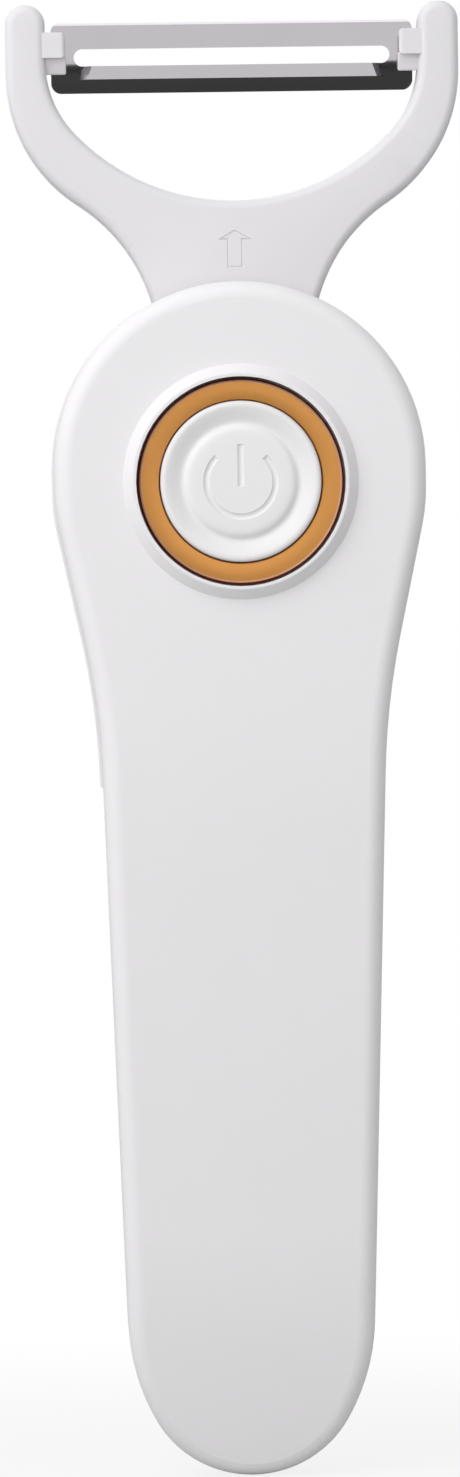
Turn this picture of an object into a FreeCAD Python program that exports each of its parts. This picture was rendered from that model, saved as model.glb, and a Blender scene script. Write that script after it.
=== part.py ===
import FreeCAD, Part
import math
import os
import MeshPart
import Sketcher

# Electric potato peeler, modelled upright in millimetres.
# +Z runs from the butt of the handle to the blade, the button faces -Y and +X is
# the right-hand side seen from the front.  The origin lies on the handle's axis
# where a hand holds it, in the plane where the front and rear shells meet.

doc = FreeCAD.newDocument("peeler")
sheet = doc.addObject("Spreadsheet::Sheet", "Sizes")

DRIVING_SIZES = (
    # outline of the handle and head, seen from the front
    ("head_radius", 26.1, "round head of the front cover"),
    ("head_z", 81.5, "centre of the round head"),
    ("head_straight", 3.0, "straight run below the round head"),
    ("flank_tilt", 12.1, "degrees that the flanks lean in below the head"),
    ("waist_radius", 110.0, "hollow curve from flank to grip"),
    ("grip_half", 18.65, "half width of the grip at the origin"),
    ("grip_taper", 1.8, "degrees that each side of the grip leans in"),
    ("butt_corner", 30.0, "radius of the lower corners"),
    ("butt_turn", 30.0, "degrees below level where the corner meets the butt arc"),
    ("butt_z", -61.2, "lowest point of the handle"),
    ("rear_proud", 0.4, "how far the rear housing stands out past the front cover"),
    # depth of the shells
    ("front_depth", 13.0, "parting plane to the front face at the head"),
    ("front_tilt", 2.2, "degrees that the front of the grip falls back"),
    ("tilt_start_z", 44.0, "where the front face starts to fall back"),
    ("tilt_radius", 300.0, "radius of the bend between head and grip"),
    ("rear_depth", 14.0, "parting plane to the flat back"),
    ("tail_start_z", -28.0, "where both faces start to curve to the butt"),
    ("tail_radius", 130.0, "radius of that curve"),
    ("front_edge", 2.4, "rounding round the front face"),
    ("rear_edge", 5.0, "rounding round the back"),
    ("wall", 2.0, "wall of the moulded shells"),
    ("seam_gap", 0.2, "gap between the shells and round the door"),
    ("door_top_z", 36.4, "upper edge of the battery door"),
    ("tongue_half", 3.0, "half width of the door's latch tongue"),
    # button
    ("button_z", 79.4, "centre of the button"),
    ("collar_base", 17.0, "radius of the collar at the front face"),
    ("collar_rim", 15.2, "radius of the collar at its rim"),
    ("collar_rise", 1.6, "height of the rim over the front face"),
    ("ring_outer", 14.5, "outer radius of the trim ring"),
    ("ring_inner", 11.65, "inner radius of the trim ring"),
    ("ring_drop", 1.3, "how far the ring lies below the rim"),
    ("ring_thick", 2.2, "thickness of the ring"),
    ("ring_seat_gap", 0.2, "gap round the ring in its seat"),
    ("ledge_thick", 1.3, "ledge that the ring sits on"),
    ("cap_radius", 11.3, "radius of the button cap"),
    ("cap_proud", 0.6, "how far the cap rim stands over the ring"),
    ("cap_flange", 13.0, "radius of the flange behind the ledge"),
    ("cap_flange_thick", 1.0, "thickness of that flange"),
    ("cap_valley", 8.4, "radius of the valley in the cap"),
    ("cap_plateau", 7.2, "radius of the raised middle"),
    ("button_travel", 1.2, "how far the button goes in"),
    # switch and board
    ("stem_radius", 2.4, "stem under the cap"),
    ("stem_long", 2.2, "length of the stem behind the flange"),
    ("switch_side", 8.0, "side of the switch"),
    ("switch_high", 5.6, "height of the switch"),
    ("plunger_radius", 1.6, "plunger of the switch"),
    ("plunger_free", 1.4, "length of the plunger that stands out"),
    ("press_gap", 0.1, "gap between the stem and the plunger"),
    ("board_half", 17.4, "half width of the circuit board"),
    ("board_low_z", 74.0, "lower edge of the circuit board"),
    ("board_high_z", 90.0, "upper edge of the circuit board"),
    ("board_thick", 1.6, "thickness of the circuit board"),
    ("board_post_x", 15.4, "screw posts of the board, each side"),
    # motor
    ("motor_y", 4.2, "motor axis behind the parting plane"),
    ("motor_half_x", 10.0, "half width of the motor"),
    ("motor_half_y", 7.5, "half depth of the motor over its flats"),
    ("motor_low_z", 39.4, "lower end of the motor"),
    ("motor_cap_long", 4.4, "length of the motor's end cap"),
    ("motor_can_long", 17.2, "length of the motor's can"),
    ("shaft_radius", 1.0, "motor shaft"),
    ("nose_radius", 3.0, "bearing nose on the motor's can"),
    ("nose_high", 1.4, "height of that nose"),
    ("motor_screw_x", 7.0, "motor screws, each side"),
    ("motor_screw_deep", 2.2, "depth of their holes in the can"),
    ("terminal_x", 6.5, "motor terminals, each side"),
    # eccentric drive
    ("throw", 0.8, "eccentricity of the crank pin, half the stroke"),
    ("hub_radius", 4.5, "eccentric hub"),
    ("hub_low_z", 64.6, "lower face of the hub"),
    ("hub_high", 3.8, "height of the hub"),
    ("crank_pin_radius", 1.0, "crank pin"),
    ("roller_radius", 2.2, "roller on the crank pin"),
    ("yoke_low_z", 69.0, "lower face of the yoke"),
    ("yoke_high", 3.0, "height of the yoke and roller"),
    ("yoke_half_x", 12.0, "half width of the yoke"),
    ("running_gap", 0.05, "radial gap of every running fit"),
    ("free_gap", 0.3, "gap between pieces that pass each other"),
    # guide rods, frame and carriage
    ("frame_back_gap", 0.5, "gap between the frame and the rear housing"),
    ("frame_thick", 2.0, "walls of the drive frame"),
    ("frame_half_x", 18.8, "half width of the drive frame"),
    ("rod_radius", 1.5, "guide rods"),
    ("rod_y", 7.6, "guide rods behind the parting plane"),
    ("rod_low_z", 76.0, "lower guide rod"),
    ("rod_high_z", 86.6, "upper guide rod"),
    ("bush_radius", 2.5, "outer radius of the bronze bushes"),
    ("bush_long", 5.0, "length of a bush"),
    ("carriage_half_x", 10.0, "half width of the carriage"),
    ("carriage_thick", 6.4, "thickness of the carriage"),
    ("carriage_top_z", 92.4, "upper end of the carriage body"),
    ("post_half_x", 4.0, "half width of the drive post"),
    ("post_thick", 3.2, "thickness of the drive post"),
    ("post_top_z", 115.6, "top of the drive post"),
    ("post_fit", 0.1, "gap round the post in its socket"),
    # pocket for the fork's neck
    ("pocket_floor_z", 101.4, "floor of the pocket in the rear housing"),
    ("pocket_play", 0.5, "gap beside the neck at the end of the stroke"),
    ("seal_thick", 1.0, "wiper seal on the post"),
    ("seal_half_x", 7.6, "half width of the wiper seal"),
    # fork
    ("fork_front_y", 1.0, "front face of the fork"),
    ("fork_thick", 8.0, "thickness of the fork"),
    ("arm_wide", 5.65, "width of each arm beside the blade"),
    ("fork_shoulder", 22.0, "outer curve of the fork's shoulder"),
    ("fork_shoulder_z", 138.0, "where the shoulder curve starts"),
    ("neck_sweep", 25.0, "hollow curve from shoulder to neck"),
    ("neck_half", 10.9, "half width that the hollow curve runs out to"),
    ("neck_flare", 1.4, "how much wider the neck is at the mouth of its pocket"),
    ("fork_top_z", 147.8, "top of the arms"),
    ("gap_half", 26.55, "half width between the arms"),
    ("gap_depth", 20.0, "depth of the rounded end of the gap"),
    ("gap_corner", 15.0, "radius at each side of that rounded end"),
    ("gap_spring_z", 139.7, "where the rounded end of the gap starts"),
    ("fork_edge", 1.3, "rounding of the fork's edges"),
    ("tab_long", 2.8, "how far each tab stands into the gap"),
    ("tab_low_z", 140.2, "lower edge of the tabs"),
    ("tab_high", 3.6, "height of the tabs"),
    ("tab_set_back", 0.3, "how far the tabs lie behind the fork's front face"),
    ("tab_thick", 1.6, "thickness of the tabs"),
    # blade
    ("pivot_y", 5.6, "swivel axis of the blade behind the parting plane"),
    ("pivot_z", 140.4, "swivel axis of the blade above the origin"),
    ("blade_end_gap", 0.8, "gap between the blade and each arm"),
    ("blade_high", 10.2, "height of the blade"),
    ("blade_bow", 9.5, "radius of the blade's curved section"),
    ("blade_front_y", 3.8, "foremost line of the blade"),
    ("blade_thick", 0.6, "thickness of the blade"),
    ("slot_half", 22.5, "half length of the cutting slot"),
    ("slot_low", -1.3, "lower edge of the slot from the swivel axis"),
    ("slot_high", 1.2, "upper edge of the slot from the swivel axis"),
    ("lip_rise", 0.7, "how far the cutting lip stands forward"),
    ("lip_high", 2.0, "height of the cutting lip"),
    ("ear_deep", 3.4, "depth of the bent ears"),
    ("ear_high", 5.0, "height of the bent ears"),
    ("pin_radius", 1.1, "blade pins"),
    ("pin_depth", 2.9, "how far each pin goes into its arm"),
    # battery bay
    ("cell_radius", 7.1, "AA cell"),
    ("cell_long", 49.2, "AA cell without its nub"),
    ("nub_radius", 2.75, "nub of the cell"),
    ("nub_high", 1.2, "height of the nub"),
    ("cell_x", 7.35, "cells beside the middle plane"),
    ("cell_y", 4.2, "cell axis behind the parting plane"),
    ("cell_low_z", -37.0, "lower end of the cells"),
    ("tray_half", 14.6, "half width of the battery tray"),
    ("tray_front_y", -5.6, "front of the tray"),
    ("tray_rear_y", 2.6, "rear edge of the tray"),
    ("tray_screw_inset", 13.5, "tray screws from the ends of the cells"),
    ("tray_end_wall", 1.8, "end walls of the tray"),
    ("contact_thick", 0.4, "sheet of the contacts"),
    ("contact_room", 2.6, "room for a contact at each end of the cells"),
    ("contact_half", 4.2, "half width of a contact"),
    ("contact_deep", 10.0, "depth of a contact"),
    # fasteners and leads
    ("screw_radius", 1.25, "shank of the case screws"),
    ("screw_head", 2.3, "head of the case screws"),
    ("screw_head_high", 1.6, "height of that head"),
    ("boss_radius", 3.0, "screw bosses"),
    ("head_screw_x", 16.5, "upper case screws, each side"),
    ("head_screw_z", 94.0, "upper case screws"),
    ("waist_screw_x", 16.0, "lower case screws, each side"),
    ("waist_screw_z", 55.6, "lower case screws"),
    ("small_screw", 1.0, "shank of the small screws"),
    ("small_head", 1.8, "head of the small screws"),
    ("small_head_high", 1.2, "height of that head"),
    ("case_screw_sink", 5.0, "case screw seats below the flat back"),
    ("case_screw_reach", 8.0, "case screws past the parting plane"),
    ("board_screw_long", 6.0, "screws of the circuit board"),
    ("tray_screw_long", 5.0, "screws of the battery tray"),
    ("motor_screw_long", 4.0, "screws of the motor"),
    ("lead_radius", 0.7, "insulated leads"),
    ("lead_beside", 2.6, "battery leads beside the motor"),
    ("lead_slant", 22.0, "height over the contacts where they reach that lane"),
)

for row, (alias, value, note) in enumerate(DRIVING_SIZES, start=1):
    sheet.set(f"A{row}", alias)
    sheet.set(f"B{row}", str(value))
    sheet.set(f"C{row}", note)
    sheet.setAlias(f"B{row}", alias)
doc.recompute()

ALIASES = sorted((entry[0] for entry in DRIVING_SIZES), key=len, reverse=True)


def mm(alias):
    """The value of one driving size."""
    return float(sheet.get(alias))


def rule(text):
    """Turn a rule written with plain size names into an expression on the sheet."""
    words = str(text).replace("(", " ( ").replace(")", " ) ").split()
    return " ".join("Sizes." + word if word in ALIASES else word for word in words)


def bind(thing, **rules):
    """Bind properties of an object to the sheet; a double underscore stands for a dot."""
    for prop, text in rules.items():
        thing.setExpression(prop.replace("__", "."), rule(text))
    return thing


def place(thing, x="0", y="0", z="0"):
    return bind(thing, Placement__Base__x=x, Placement__Base__y=y, Placement__Base__z=z)


# helpers for primitives and booleans

TURN = {
    "X": FreeCAD.Rotation(FreeCAD.Vector(0, 1, 0), 90),
    "Y": FreeCAD.Rotation(FreeCAD.Vector(1, 0, 0), -90),
    "Z": FreeCAD.Rotation(),
}


def block(name, low, size):
    """A box from its low corner and its three sizes, all given as rules."""
    box = doc.addObject("Part::Box", name)
    bind(box, Length=size[0], Width=size[1], Height=size[2])
    return place(box, *low)


def cylinder(name, along, radius, length, at):
    """A cylinder that starts at a point and runs along +X, +Y or +Z."""
    rod = doc.addObject("Part::Cylinder", name)
    bind(rod, Radius=radius, Height=length)
    rod.Placement = FreeCAD.Placement(FreeCAD.Vector(), TURN[along])
    return place(rod, *at)


def fused(name, *pieces):
    joined = doc.addObject("Part::MultiFuse", name)
    joined.Shapes = list(pieces)
    joined.Refine = True
    return joined


def grouped(name, *pieces):
    """Identical pieces kept as separate solids of one node."""
    group = doc.addObject("Part::Compound", name)
    group.Links = list(pieces)
    return group


def cut(name, base, *tools):
    result = doc.addObject("Part::Cut", name)
    result.Base = base
    result.Tool = tools[0] if len(tools) == 1 else fused(name + "_tools", *tools)
    result.Refine = True
    return result


def feature(name, shape):
    result = doc.addObject("Part::Feature", name)
    result.Shape = shape
    result.Placement = FreeCAD.Placement()
    return result


# helpers for sketched bodies

def new_body(name, x="0", y="0", z="0"):
    body = doc.addObject("PartDesign::Body", name)
    return place(body, x, y, z)


def new_sketch(body, name, role="XY_Plane", raised=None):
    sketch = body.newObject("Sketcher::SketchObject", name)
    plane = next(p for p in body.Origin.OriginFeatures if p.Role == role)
    sketch.AttachmentSupport = [(plane, "")]
    sketch.MapMode = "FlatFace"
    if raised is not None:
        bind(sketch, AttachmentOffset__Base__z=raised)
    return sketch


def pin_point(sketch, geometry, end, along, text):
    """Hold one point at a signed distance from the sketch's origin, bound to the sheet."""
    kind = "DistanceX" if along == "u" else "DistanceY"
    index = sketch.addConstraint(Sketcher.Constraint(kind, -1, 1, geometry, end, 1.0))
    sketch.setExpression(f"Constraints[{index}]", rule(text))


def draw_polygon(sketch, corners):
    """A closed outline of straight lines; every corner is a pair of rules."""
    count = len(corners)
    first = sketch.GeometryCount
    for i in range(count):
        a = FreeCAD.Vector(math.cos(2 * math.pi * i / count), math.sin(2 * math.pi * i / count), 0)
        j = (i + 1) % count
        b = FreeCAD.Vector(math.cos(2 * math.pi * j / count), math.sin(2 * math.pi * j / count), 0)
        sketch.addGeometry(Part.LineSegment(a, b), False)
    for i in range(count):
        after = first + (i + 1) % count
        sketch.addConstraint(Sketcher.Constraint("Coincident", first + i, 2, after, 1))
    for i, (u, v) in enumerate(corners):
        pin_point(sketch, first + i, 1, "u", u)
        pin_point(sketch, first + i, 1, "v", v)


def draw_circle(sketch, u, v, radius):
    circle = Part.Circle(FreeCAD.Vector(1, 1, 0), FreeCAD.Vector(0, 0, 1), 1.0)
    index = sketch.addGeometry(circle, False)
    pin_point(sketch, index, 3, "u", u)
    pin_point(sketch, index, 3, "v", v)
    held = sketch.addConstraint(Sketcher.Constraint("Radius", index, 1.0))
    sketch.setExpression(f"Constraints[{held}]", rule(radius))


def draw_rectangle(sketch, low_u, high_u, low_v, high_v):
    draw_polygon(sketch, ((low_u, low_v), (high_u, low_v), (high_u, high_v), (low_u, high_v)))


def pad(body, sketch, length, name):
    result = body.newObject("PartDesign::Pad", name)
    result.Profile = sketch
    bind(result, Length=length)
    sketch.Visibility = False
    return result


def pocket(body, sketch, length, name, backwards=False):
    result = body.newObject("PartDesign::Pocket", name)
    result.Profile = sketch
    result.Reversed = backwards
    bind(result, Length=length)
    return result


def revolve(body, sketch, name):
    """Turn a half section about the sketch's own vertical axis."""
    result = body.newObject("PartDesign::Revolution", name)
    result.Profile = sketch
    result.ReferenceAxis = (sketch, ["V_Axis"])
    result.Angle = 360.0
    return result


def turned(name, corners, x="0", y="0", z="0"):
    """A piece turned about an axis along Y, from its half section (radius, depth)."""
    body = new_body(name, x, y, z)
    sketch = new_sketch(body, name + "_section")
    draw_polygon(sketch, corners)
    revolve(body, sketch, name + "_turn")
    return body


# outline of the housing, made of tangent arcs and lines

def outline(offset):
    """Closed outline of the handle and head in the XZ plane, moved outwards by offset."""
    flank = math.radians(mm("flank_tilt"))
    taper = math.radians(mm("grip_taper"))
    turn = math.radians(mm("butt_turn"))
    radius = mm("head_radius") + offset
    low_z = mm("head_z") - mm("head_straight")
    flank_out = (math.cos(flank), -math.sin(flank))
    grip_out = (math.cos(taper), -math.sin(taper))
    # centre of the hollow waist curve: a set distance outside both straight lines
    k_flank = mm("head_radius") + mm("waist_radius") + flank_out[1] * low_z
    k_grip = mm("grip_half") * math.cos(taper) + mm("waist_radius")
    det = flank_out[0] * grip_out[1] - grip_out[0] * flank_out[1]
    waist_x = (k_flank * grip_out[1] - flank_out[1] * k_grip) / det
    waist_z = (flank_out[0] * k_grip - grip_out[0] * k_flank) / det
    waist_r = mm("waist_radius") - offset
    # the butt arc is tangent to both corner arcs
    corner = mm("butt_corner")
    k_grip -= mm("waist_radius")
    reach = corner - k_grip - math.sin(taper) * (mm("butt_z") + corner)
    reach /= math.cos(taper) * math.cos(turn) - math.sin(taper) * (1 - math.sin(turn))
    butt_r = corner - reach + offset
    butt_centre_z = mm("butt_z") + corner - reach
    corner_x = -reach * math.cos(turn)
    corner_z = butt_centre_z + reach * math.sin(turn)
    corner_r = corner + offset

    def at(side, cx, cz, r, angle):
        return FreeCAD.Vector(side * (cx + r * math.cos(angle)), 0, cz + r * math.sin(angle))

    def arc(side, cx, cz, r, start, end):
        middle = (start + end) / 2
        ends = [at(side, cx, cz, r, angle) for angle in (start, middle, end)]
        return Part.Arc(*ends).toShape(), ends[0], ends[2]

    top = Part.Arc(
        FreeCAD.Vector(-radius, 0, mm("head_z")),
        FreeCAD.Vector(0, 0, mm("head_z") + radius),
        FreeCAD.Vector(radius, 0, mm("head_z")),
    ).toShape()
    butt = Part.Arc(
        at(1, 0, butt_centre_z, butt_r, -turn),
        FreeCAD.Vector(0, 0, butt_centre_z - butt_r),
        at(-1, 0, butt_centre_z, butt_r, -turn),
    ).toShape()
    edges = [top, butt]
    for side in (1, -1):
        shoulder, a, b = arc(side, 0, low_z, radius, 0, -flank)
        waist, c, d = arc(side, waist_x, waist_z, -waist_r, -flank, -taper)
        heel, e, f = arc(side, corner_x, corner_z, corner_r, -taper, -turn)
        run = Part.makeLine(FreeCAD.Vector(side * radius, 0, mm("head_z")), a)
        edges += [run, shoulder, Part.makeLine(b, c), waist, Part.makeLine(d, e), heel]
    return Part.Wire(Part.__sortEdges__(edges))


HIGH = 130.0   # well above the head
WIDE = 40.0    # well outside the outline
DEEP = 30.0    # well in front of or behind the shells


def side_profile(depth, tilt, offset):
    """Closed outline of one half seen from the side: flat face, tilted grip and tail."""
    vec = FreeCAD.Vector
    turn = math.radians(tilt)
    bend_r = mm("tilt_radius") + offset
    tail_r = mm("tail_radius") + offset
    # the bend and the tail keep their centres, so walls keep their thickness
    bend_centre = (depth - bend_r, mm("tilt_start_z"))

    def on(centre, radius, angle):
        return vec(0, centre[0] + radius * math.cos(angle), centre[1] - radius * math.sin(angle))

    bend_start = on(bend_centre, bend_r, 0)
    bend_end = on(bend_centre, bend_r, turn)
    outer_end = on(bend_centre, mm("tilt_radius"), turn)
    run = (outer_end.z - mm("tail_start_z")) / math.cos(turn)
    tail_start = vec(0, bend_end.y - run * math.sin(turn), bend_end.z - run * math.cos(turn))
    tail_centre = (tail_start.y - tail_r * math.cos(turn), tail_start.z + tail_r * math.sin(turn))
    sweep = (tail_centre[1] - mm("butt_z") + mm("wall")) / tail_r
    tail_end = on(tail_centre, tail_r, math.asin(sweep))
    top = vec(0, depth, HIGH)
    edges = [Part.makeLine(top, bend_start)]
    if turn:
        edges.append(Part.Arc(bend_start, on(bend_centre, bend_r, turn / 2), bend_end).toShape())
    edges.append(Part.makeLine(bend_end, tail_start))
    middle = on(tail_centre, tail_r, (turn + math.asin(sweep)) / 2)
    edges.append(Part.Arc(tail_start, middle, tail_end).toShape())
    edges.append(Part.makePolygon([tail_end, vec(0, -1, tail_end.z), vec(0, -1, HIGH), top]))
    return Part.Wire(edges)


def half_form(side, offset, depth, tilt, edge, chamfered=False):
    """One half of the housing, as a solid. side is -1 in front and 1 behind."""
    offset_in = -mm("wall") if chamfered else 0.0
    slab = Part.Face(outline(offset)).extrude(FreeCAD.Vector(0, DEEP, 0))
    across = FreeCAD.Vector(2 * WIDE, 0, 0)
    prism = Part.Face(side_profile(depth + offset_in, tilt, offset_in)).extrude(across)
    prism.translate(FreeCAD.Vector(-WIDE, 0, 0))
    solid = slab.common(prism)
    rim = [
        e for e in solid.Edges
        if e.CenterOfMass.y > 0.5 and not is_along(e, "y") and not is_along(e, "x")
    ]
    solid = solid.makeChamfer(edge, rim) if chamfered else solid.makeFillet(edge, rim)
    if side < 0:
        solid = solid.mirror(FreeCAD.Vector(), FreeCAD.Vector(0, 1, 0))
    return solid


def is_along(edge, axis):
    """True for a straight edge that runs along one axis."""
    if not hasattr(edge.Curve, "Direction"):
        return False
    return abs(getattr(edge.Curve.Direction, axis)) > 0.99


def slab_between(low, high):
    """A plain box between two corners."""
    size = [b - a for a, b in zip(low, high)]
    return Part.makeBox(*size, FreeCAD.Vector(*low))


def rod_along_y(radius, x, z, low_y, high_y):
    return Part.makeCylinder(radius, high_y - low_y, FreeCAD.Vector(x, low_y, z), FreeCAD.Vector(0, 1, 0))


def shell_pair(side, offset, depth, tilt, edge):
    """Outer form of one half and the cavity inside it."""
    outer = half_form(side, offset, depth, tilt, edge)
    inner = half_form(side, offset - mm("wall"), depth, tilt, edge / 2, True)
    return outer, inner


CASE_SCREWS = [
    (side * mm(at + "_x"), mm(at + "_z")) for at in ("head_screw", "waist_screw") for side in (-1, 1)
]
TRAY_SCREW_Z = (
    mm("cell_low_z") + mm("tray_screw_inset"),
    mm("cell_low_z") + mm("cell_long") - mm("tray_screw_inset"),
)
rim_y = -(mm("front_depth") + mm("collar_rise"))
ring_front_y = rim_y + mm("ring_drop")
ledge_front_y = ring_front_y + mm("ring_thick")
ledge_rear_y = ledge_front_y + mm("ledge_thick")
board_front_y = (
    ledge_rear_y + mm("cap_flange_thick") + mm("stem_long") + 2 * mm("press_gap")
    + mm("plunger_free") + mm("switch_high")
)
board_rear_y = board_front_y + mm("board_thick")
motor_top_z = mm("motor_low_z") + mm("motor_cap_long") + mm("motor_can_long")
fork_rear_y = mm("fork_front_y") + mm("fork_thick")
neck_half_at_mouth = mm("neck_half") + mm("neck_flare")


def front_cover_shape():
    """Crowned front shell with the button's collar, ledge and screw posts."""
    outer, inner = shell_pair(-1, 0.0, mm("front_depth"), mm("front_tilt"), mm("front_edge"))
    z = mm("button_z")
    base_y = -(mm("front_depth") - mm("wall") / 2)
    seat = mm("ring_outer") + mm("ring_seat_gap")
    collar = Part.makeCone(
        mm("collar_base") + 0.4, mm("collar_rim"), base_y - rim_y,
        FreeCAD.Vector(0, base_y, z), FreeCAD.Vector(0, -1, 0),
    )
    rim = [e for e in collar.Edges if abs(e.CenterOfMass.y - rim_y) < 0.01]
    collar = collar.makeFillet(0.25, rim)
    lining = rod_along_y(mm("collar_rim") + 0.6, 0, z, rim_y + mm("ring_drop"), ledge_rear_y)
    shell = outer.cut(inner).fuse([collar, lining])
    posts = []
    post_root_y = -mm("front_depth") + mm("wall") / 2
    for x, post_z in CASE_SCREWS:
        posts.append(rod_along_y(mm("boss_radius") - 0.6, x, post_z, post_root_y, -mm("seam_gap") / 2))
    for side in (-1, 1):
        x = side * mm("board_post_x")
        posts.append(rod_along_y(mm("small_head"), x, z, post_root_y, board_front_y))
    for tray_z in TRAY_SCREW_Z:
        posts.append(rod_along_y(mm("boss_radius"), 0, tray_z, post_root_y, mm("tray_front_y")))
    trimmed = Part.makeCompound(posts).common(outer)
    shell = shell.fuse(trimmed.Solids)
    # the seat is cut last, so that no post stands into it
    shell = shell.cut(rod_along_y(seat, 0, z, rim_y - 1, ledge_front_y))
    shell = shell.cut(rod_along_y(mm("ring_inner"), 0, z, rim_y - 1, ledge_rear_y + 1))
    for x, post_z in CASE_SCREWS:
        shell = shell.cut(rod_along_y(mm("screw_radius"), x, post_z, -mm("case_screw_reach") - 0.4, 1))
    for side in (-1, 1):
        x = side * mm("board_post_x")
        shell = shell.cut(rod_along_y(mm("small_screw"), x, z, board_front_y - 5, board_front_y + 1))
    for tray_z in TRAY_SCREW_Z:
        shell = shell.cut(rod_along_y(mm("small_screw"), 0, tray_z, mm("tray_front_y") - 4, 0))
    behind_seam = slab_between((-WIDE, -mm("seam_gap") / 2, -HIGH), (WIDE, DEEP, HIGH))
    posts_to_keep = [
        rod_along_y(mm("small_head"), side * mm("board_post_x"), z, -0.2, board_front_y)
        for side in (-1, 1)
    ] if board_front_y > 0 else []
    shell = shell.cut(behind_seam)
    if posts_to_keep:
        bored = [
            p.cut(rod_along_y(mm("small_screw"), p.CenterOfMass.x, z, -1, board_front_y + 1))
            for p in posts_to_keep
        ]
        shell = shell.fuse(bored)
    return shell.removeSplitter()


def rear_housing_shape():
    """Flat-backed rear shell of the head, with the pocket for the fork's neck."""
    outer, inner = shell_pair(1, mm("rear_proud"), mm("rear_depth"), 0, mm("rear_edge"))
    low_z = mm("door_top_z") + mm("seam_gap") / 2
    below = slab_between((-WIDE, -DEEP, -HIGH), (WIDE, DEEP, low_z))
    inner_low = slab_between((-WIDE, -DEEP, -HIGH), (WIDE, DEEP, low_z + mm("wall")))
    shell = outer.cut(inner.cut(inner_low))
    # thick top that takes the pocket
    half = neck_half_at_mouth + mm("throw") + mm("pocket_play")
    floor_z = mm("pocket_floor_z")
    top = slab_between(
        (-half - mm("wall"), -DEEP, floor_z - mm("wall")), (half + mm("wall"), DEEP, HIGH)
    ).common(outer)
    shell = shell.fuse(top)
    bosses = [
        rod_along_y(mm("boss_radius"), x, z, 0, mm("rear_depth") - mm("wall") / 2) for x, z in CASE_SCREWS
    ]
    shell = shell.fuse(Part.makeCompound(bosses).common(outer).Solids)
    front_y = mm("fork_front_y") - mm("free_gap")
    rear_y = fork_rear_y + mm("free_gap")
    pocket_box = slab_between((-half, front_y, floor_z), (half, rear_y, HIGH))
    post_mid_y = mm("fork_front_y") + mm("fork_thick") / 2
    slot_x = mm("post_half_x") + mm("throw") + mm("free_gap")
    slot_y = mm("post_thick") / 2 + mm("free_gap")
    post_slot = slab_between(
        (-slot_x, post_mid_y - slot_y, floor_z - 2 * mm("wall")), (slot_x, post_mid_y + slot_y, floor_z + 1)
    )
    open_front = slab_between((-half, -DEEP, floor_z), (half, front_y + 1, HIGH))
    shell = shell.cut([pocket_box, post_slot, open_front])
    for x, z in CASE_SCREWS:
        shell = shell.cut(rod_along_y(mm("screw_radius") + 0.15, x, z, -1, DEEP))
        head_seat = mm("rear_depth") - mm("case_screw_sink")
        shell = shell.cut(rod_along_y(mm("screw_head") + 0.2, x, z, head_seat, DEEP))
    latch_half = mm("tongue_half") + mm("free_gap")
    latch = slab_between(
        (-latch_half, mm("rear_depth") - mm("wall") - 2.0, low_z - 1),
        (latch_half, mm("rear_depth") - mm("wall"), low_z + 5),
    )
    ahead_of_seam = slab_between((-WIDE, -DEEP, -HIGH), (WIDE, mm("seam_gap") / 2, HIGH))
    return shell.cut([below, latch, ahead_of_seam]).removeSplitter()


def battery_door_shape():
    """Rear shell of the handle, which slides down off the battery bay."""
    outer, inner = shell_pair(1, 0.0, mm("rear_depth"), 0, mm("rear_edge"))
    high_z = mm("door_top_z") - mm("seam_gap") / 2
    above = slab_between((-WIDE, -DEEP, high_z), (WIDE, DEEP, HIGH))
    ahead = slab_between((-WIDE, -DEEP, -HIGH), (WIDE, mm("seam_gap") / 2, HIGH))
    shell = outer.cut([inner, above, ahead])
    inside_y = mm("rear_depth") - mm("wall")
    half = mm("tongue_half")
    tongue = slab_between((-half, inside_y - 1.7, high_z - 8), (half, inside_y - 0.2, high_z + 2.3))
    root = slab_between((-half, inside_y - 0.5, high_z - 8), (half, inside_y + 0.5, high_z - 2))
    return shell.fuse([tongue, root]).removeSplitter()


feature("front_cover", front_cover_shape())
feature("rear_housing", rear_housing_shape())
feature("battery_door", battery_door_shape())

# button, its trim ring and the switch behind it; half sections are (radius, depth)

ring_corners = (
    ("ring_inner", "0"),
    ("ring_outer", "0"),
    ("ring_outer", "-1 * ring_thick + 0.7"),
    ("ring_outer - 0.6", "-1 * ring_thick"),
    ("ring_inner", "-1 * ring_thick + 0.5"),
)
LEDGE_FRONT = "0 - front_depth - collar_rise + ring_drop + ring_thick"
turned("button_ring", ring_corners, y=LEDGE_FRONT, z="button_z")

# the cap is measured from the rear face of the ledge
LEDGE_REAR = LEDGE_FRONT + " + ledge_thick"
CAP_RIM = "-1 * ledge_thick - ring_thick - cap_proud"
cap_corners = (
    ("0", "press_gap + cap_flange_thick + stem_long"),
    ("0", CAP_RIM + " + 0.9"),
    ("cap_plateau - 1.2", CAP_RIM + " + 0.9"),
    ("cap_plateau", CAP_RIM + " + 1.15"),
    ("cap_valley", CAP_RIM + " + 1.75"),
    ("cap_radius - 0.9", CAP_RIM + " + 0.3"),
    ("cap_radius - 0.4", CAP_RIM),
    ("cap_radius", CAP_RIM + " + 0.4"),
    ("cap_radius", "press_gap"),
    ("cap_flange", "press_gap"),
    ("cap_flange", "press_gap + cap_flange_thick"),
    ("cap_radius - 1.4", "press_gap + cap_flange_thick"),
    ("cap_radius - 1.4", CAP_RIM + " + 3.4"),
    ("stem_radius", CAP_RIM + " + 3.4"),
    ("stem_radius", "press_gap + cap_flange_thick + stem_long"),
)
turned("button_cap", cap_corners, y=LEDGE_REAR, z="button_z")

STEM_END = LEDGE_REAR + " + press_gap + cap_flange_thick + stem_long"
PLUNGER_TIP = STEM_END + " + press_gap"
SWITCH_FRONT = PLUNGER_TIP + " + plunger_free"
BOARD_FRONT = SWITCH_FRONT + " + switch_high"

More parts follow.
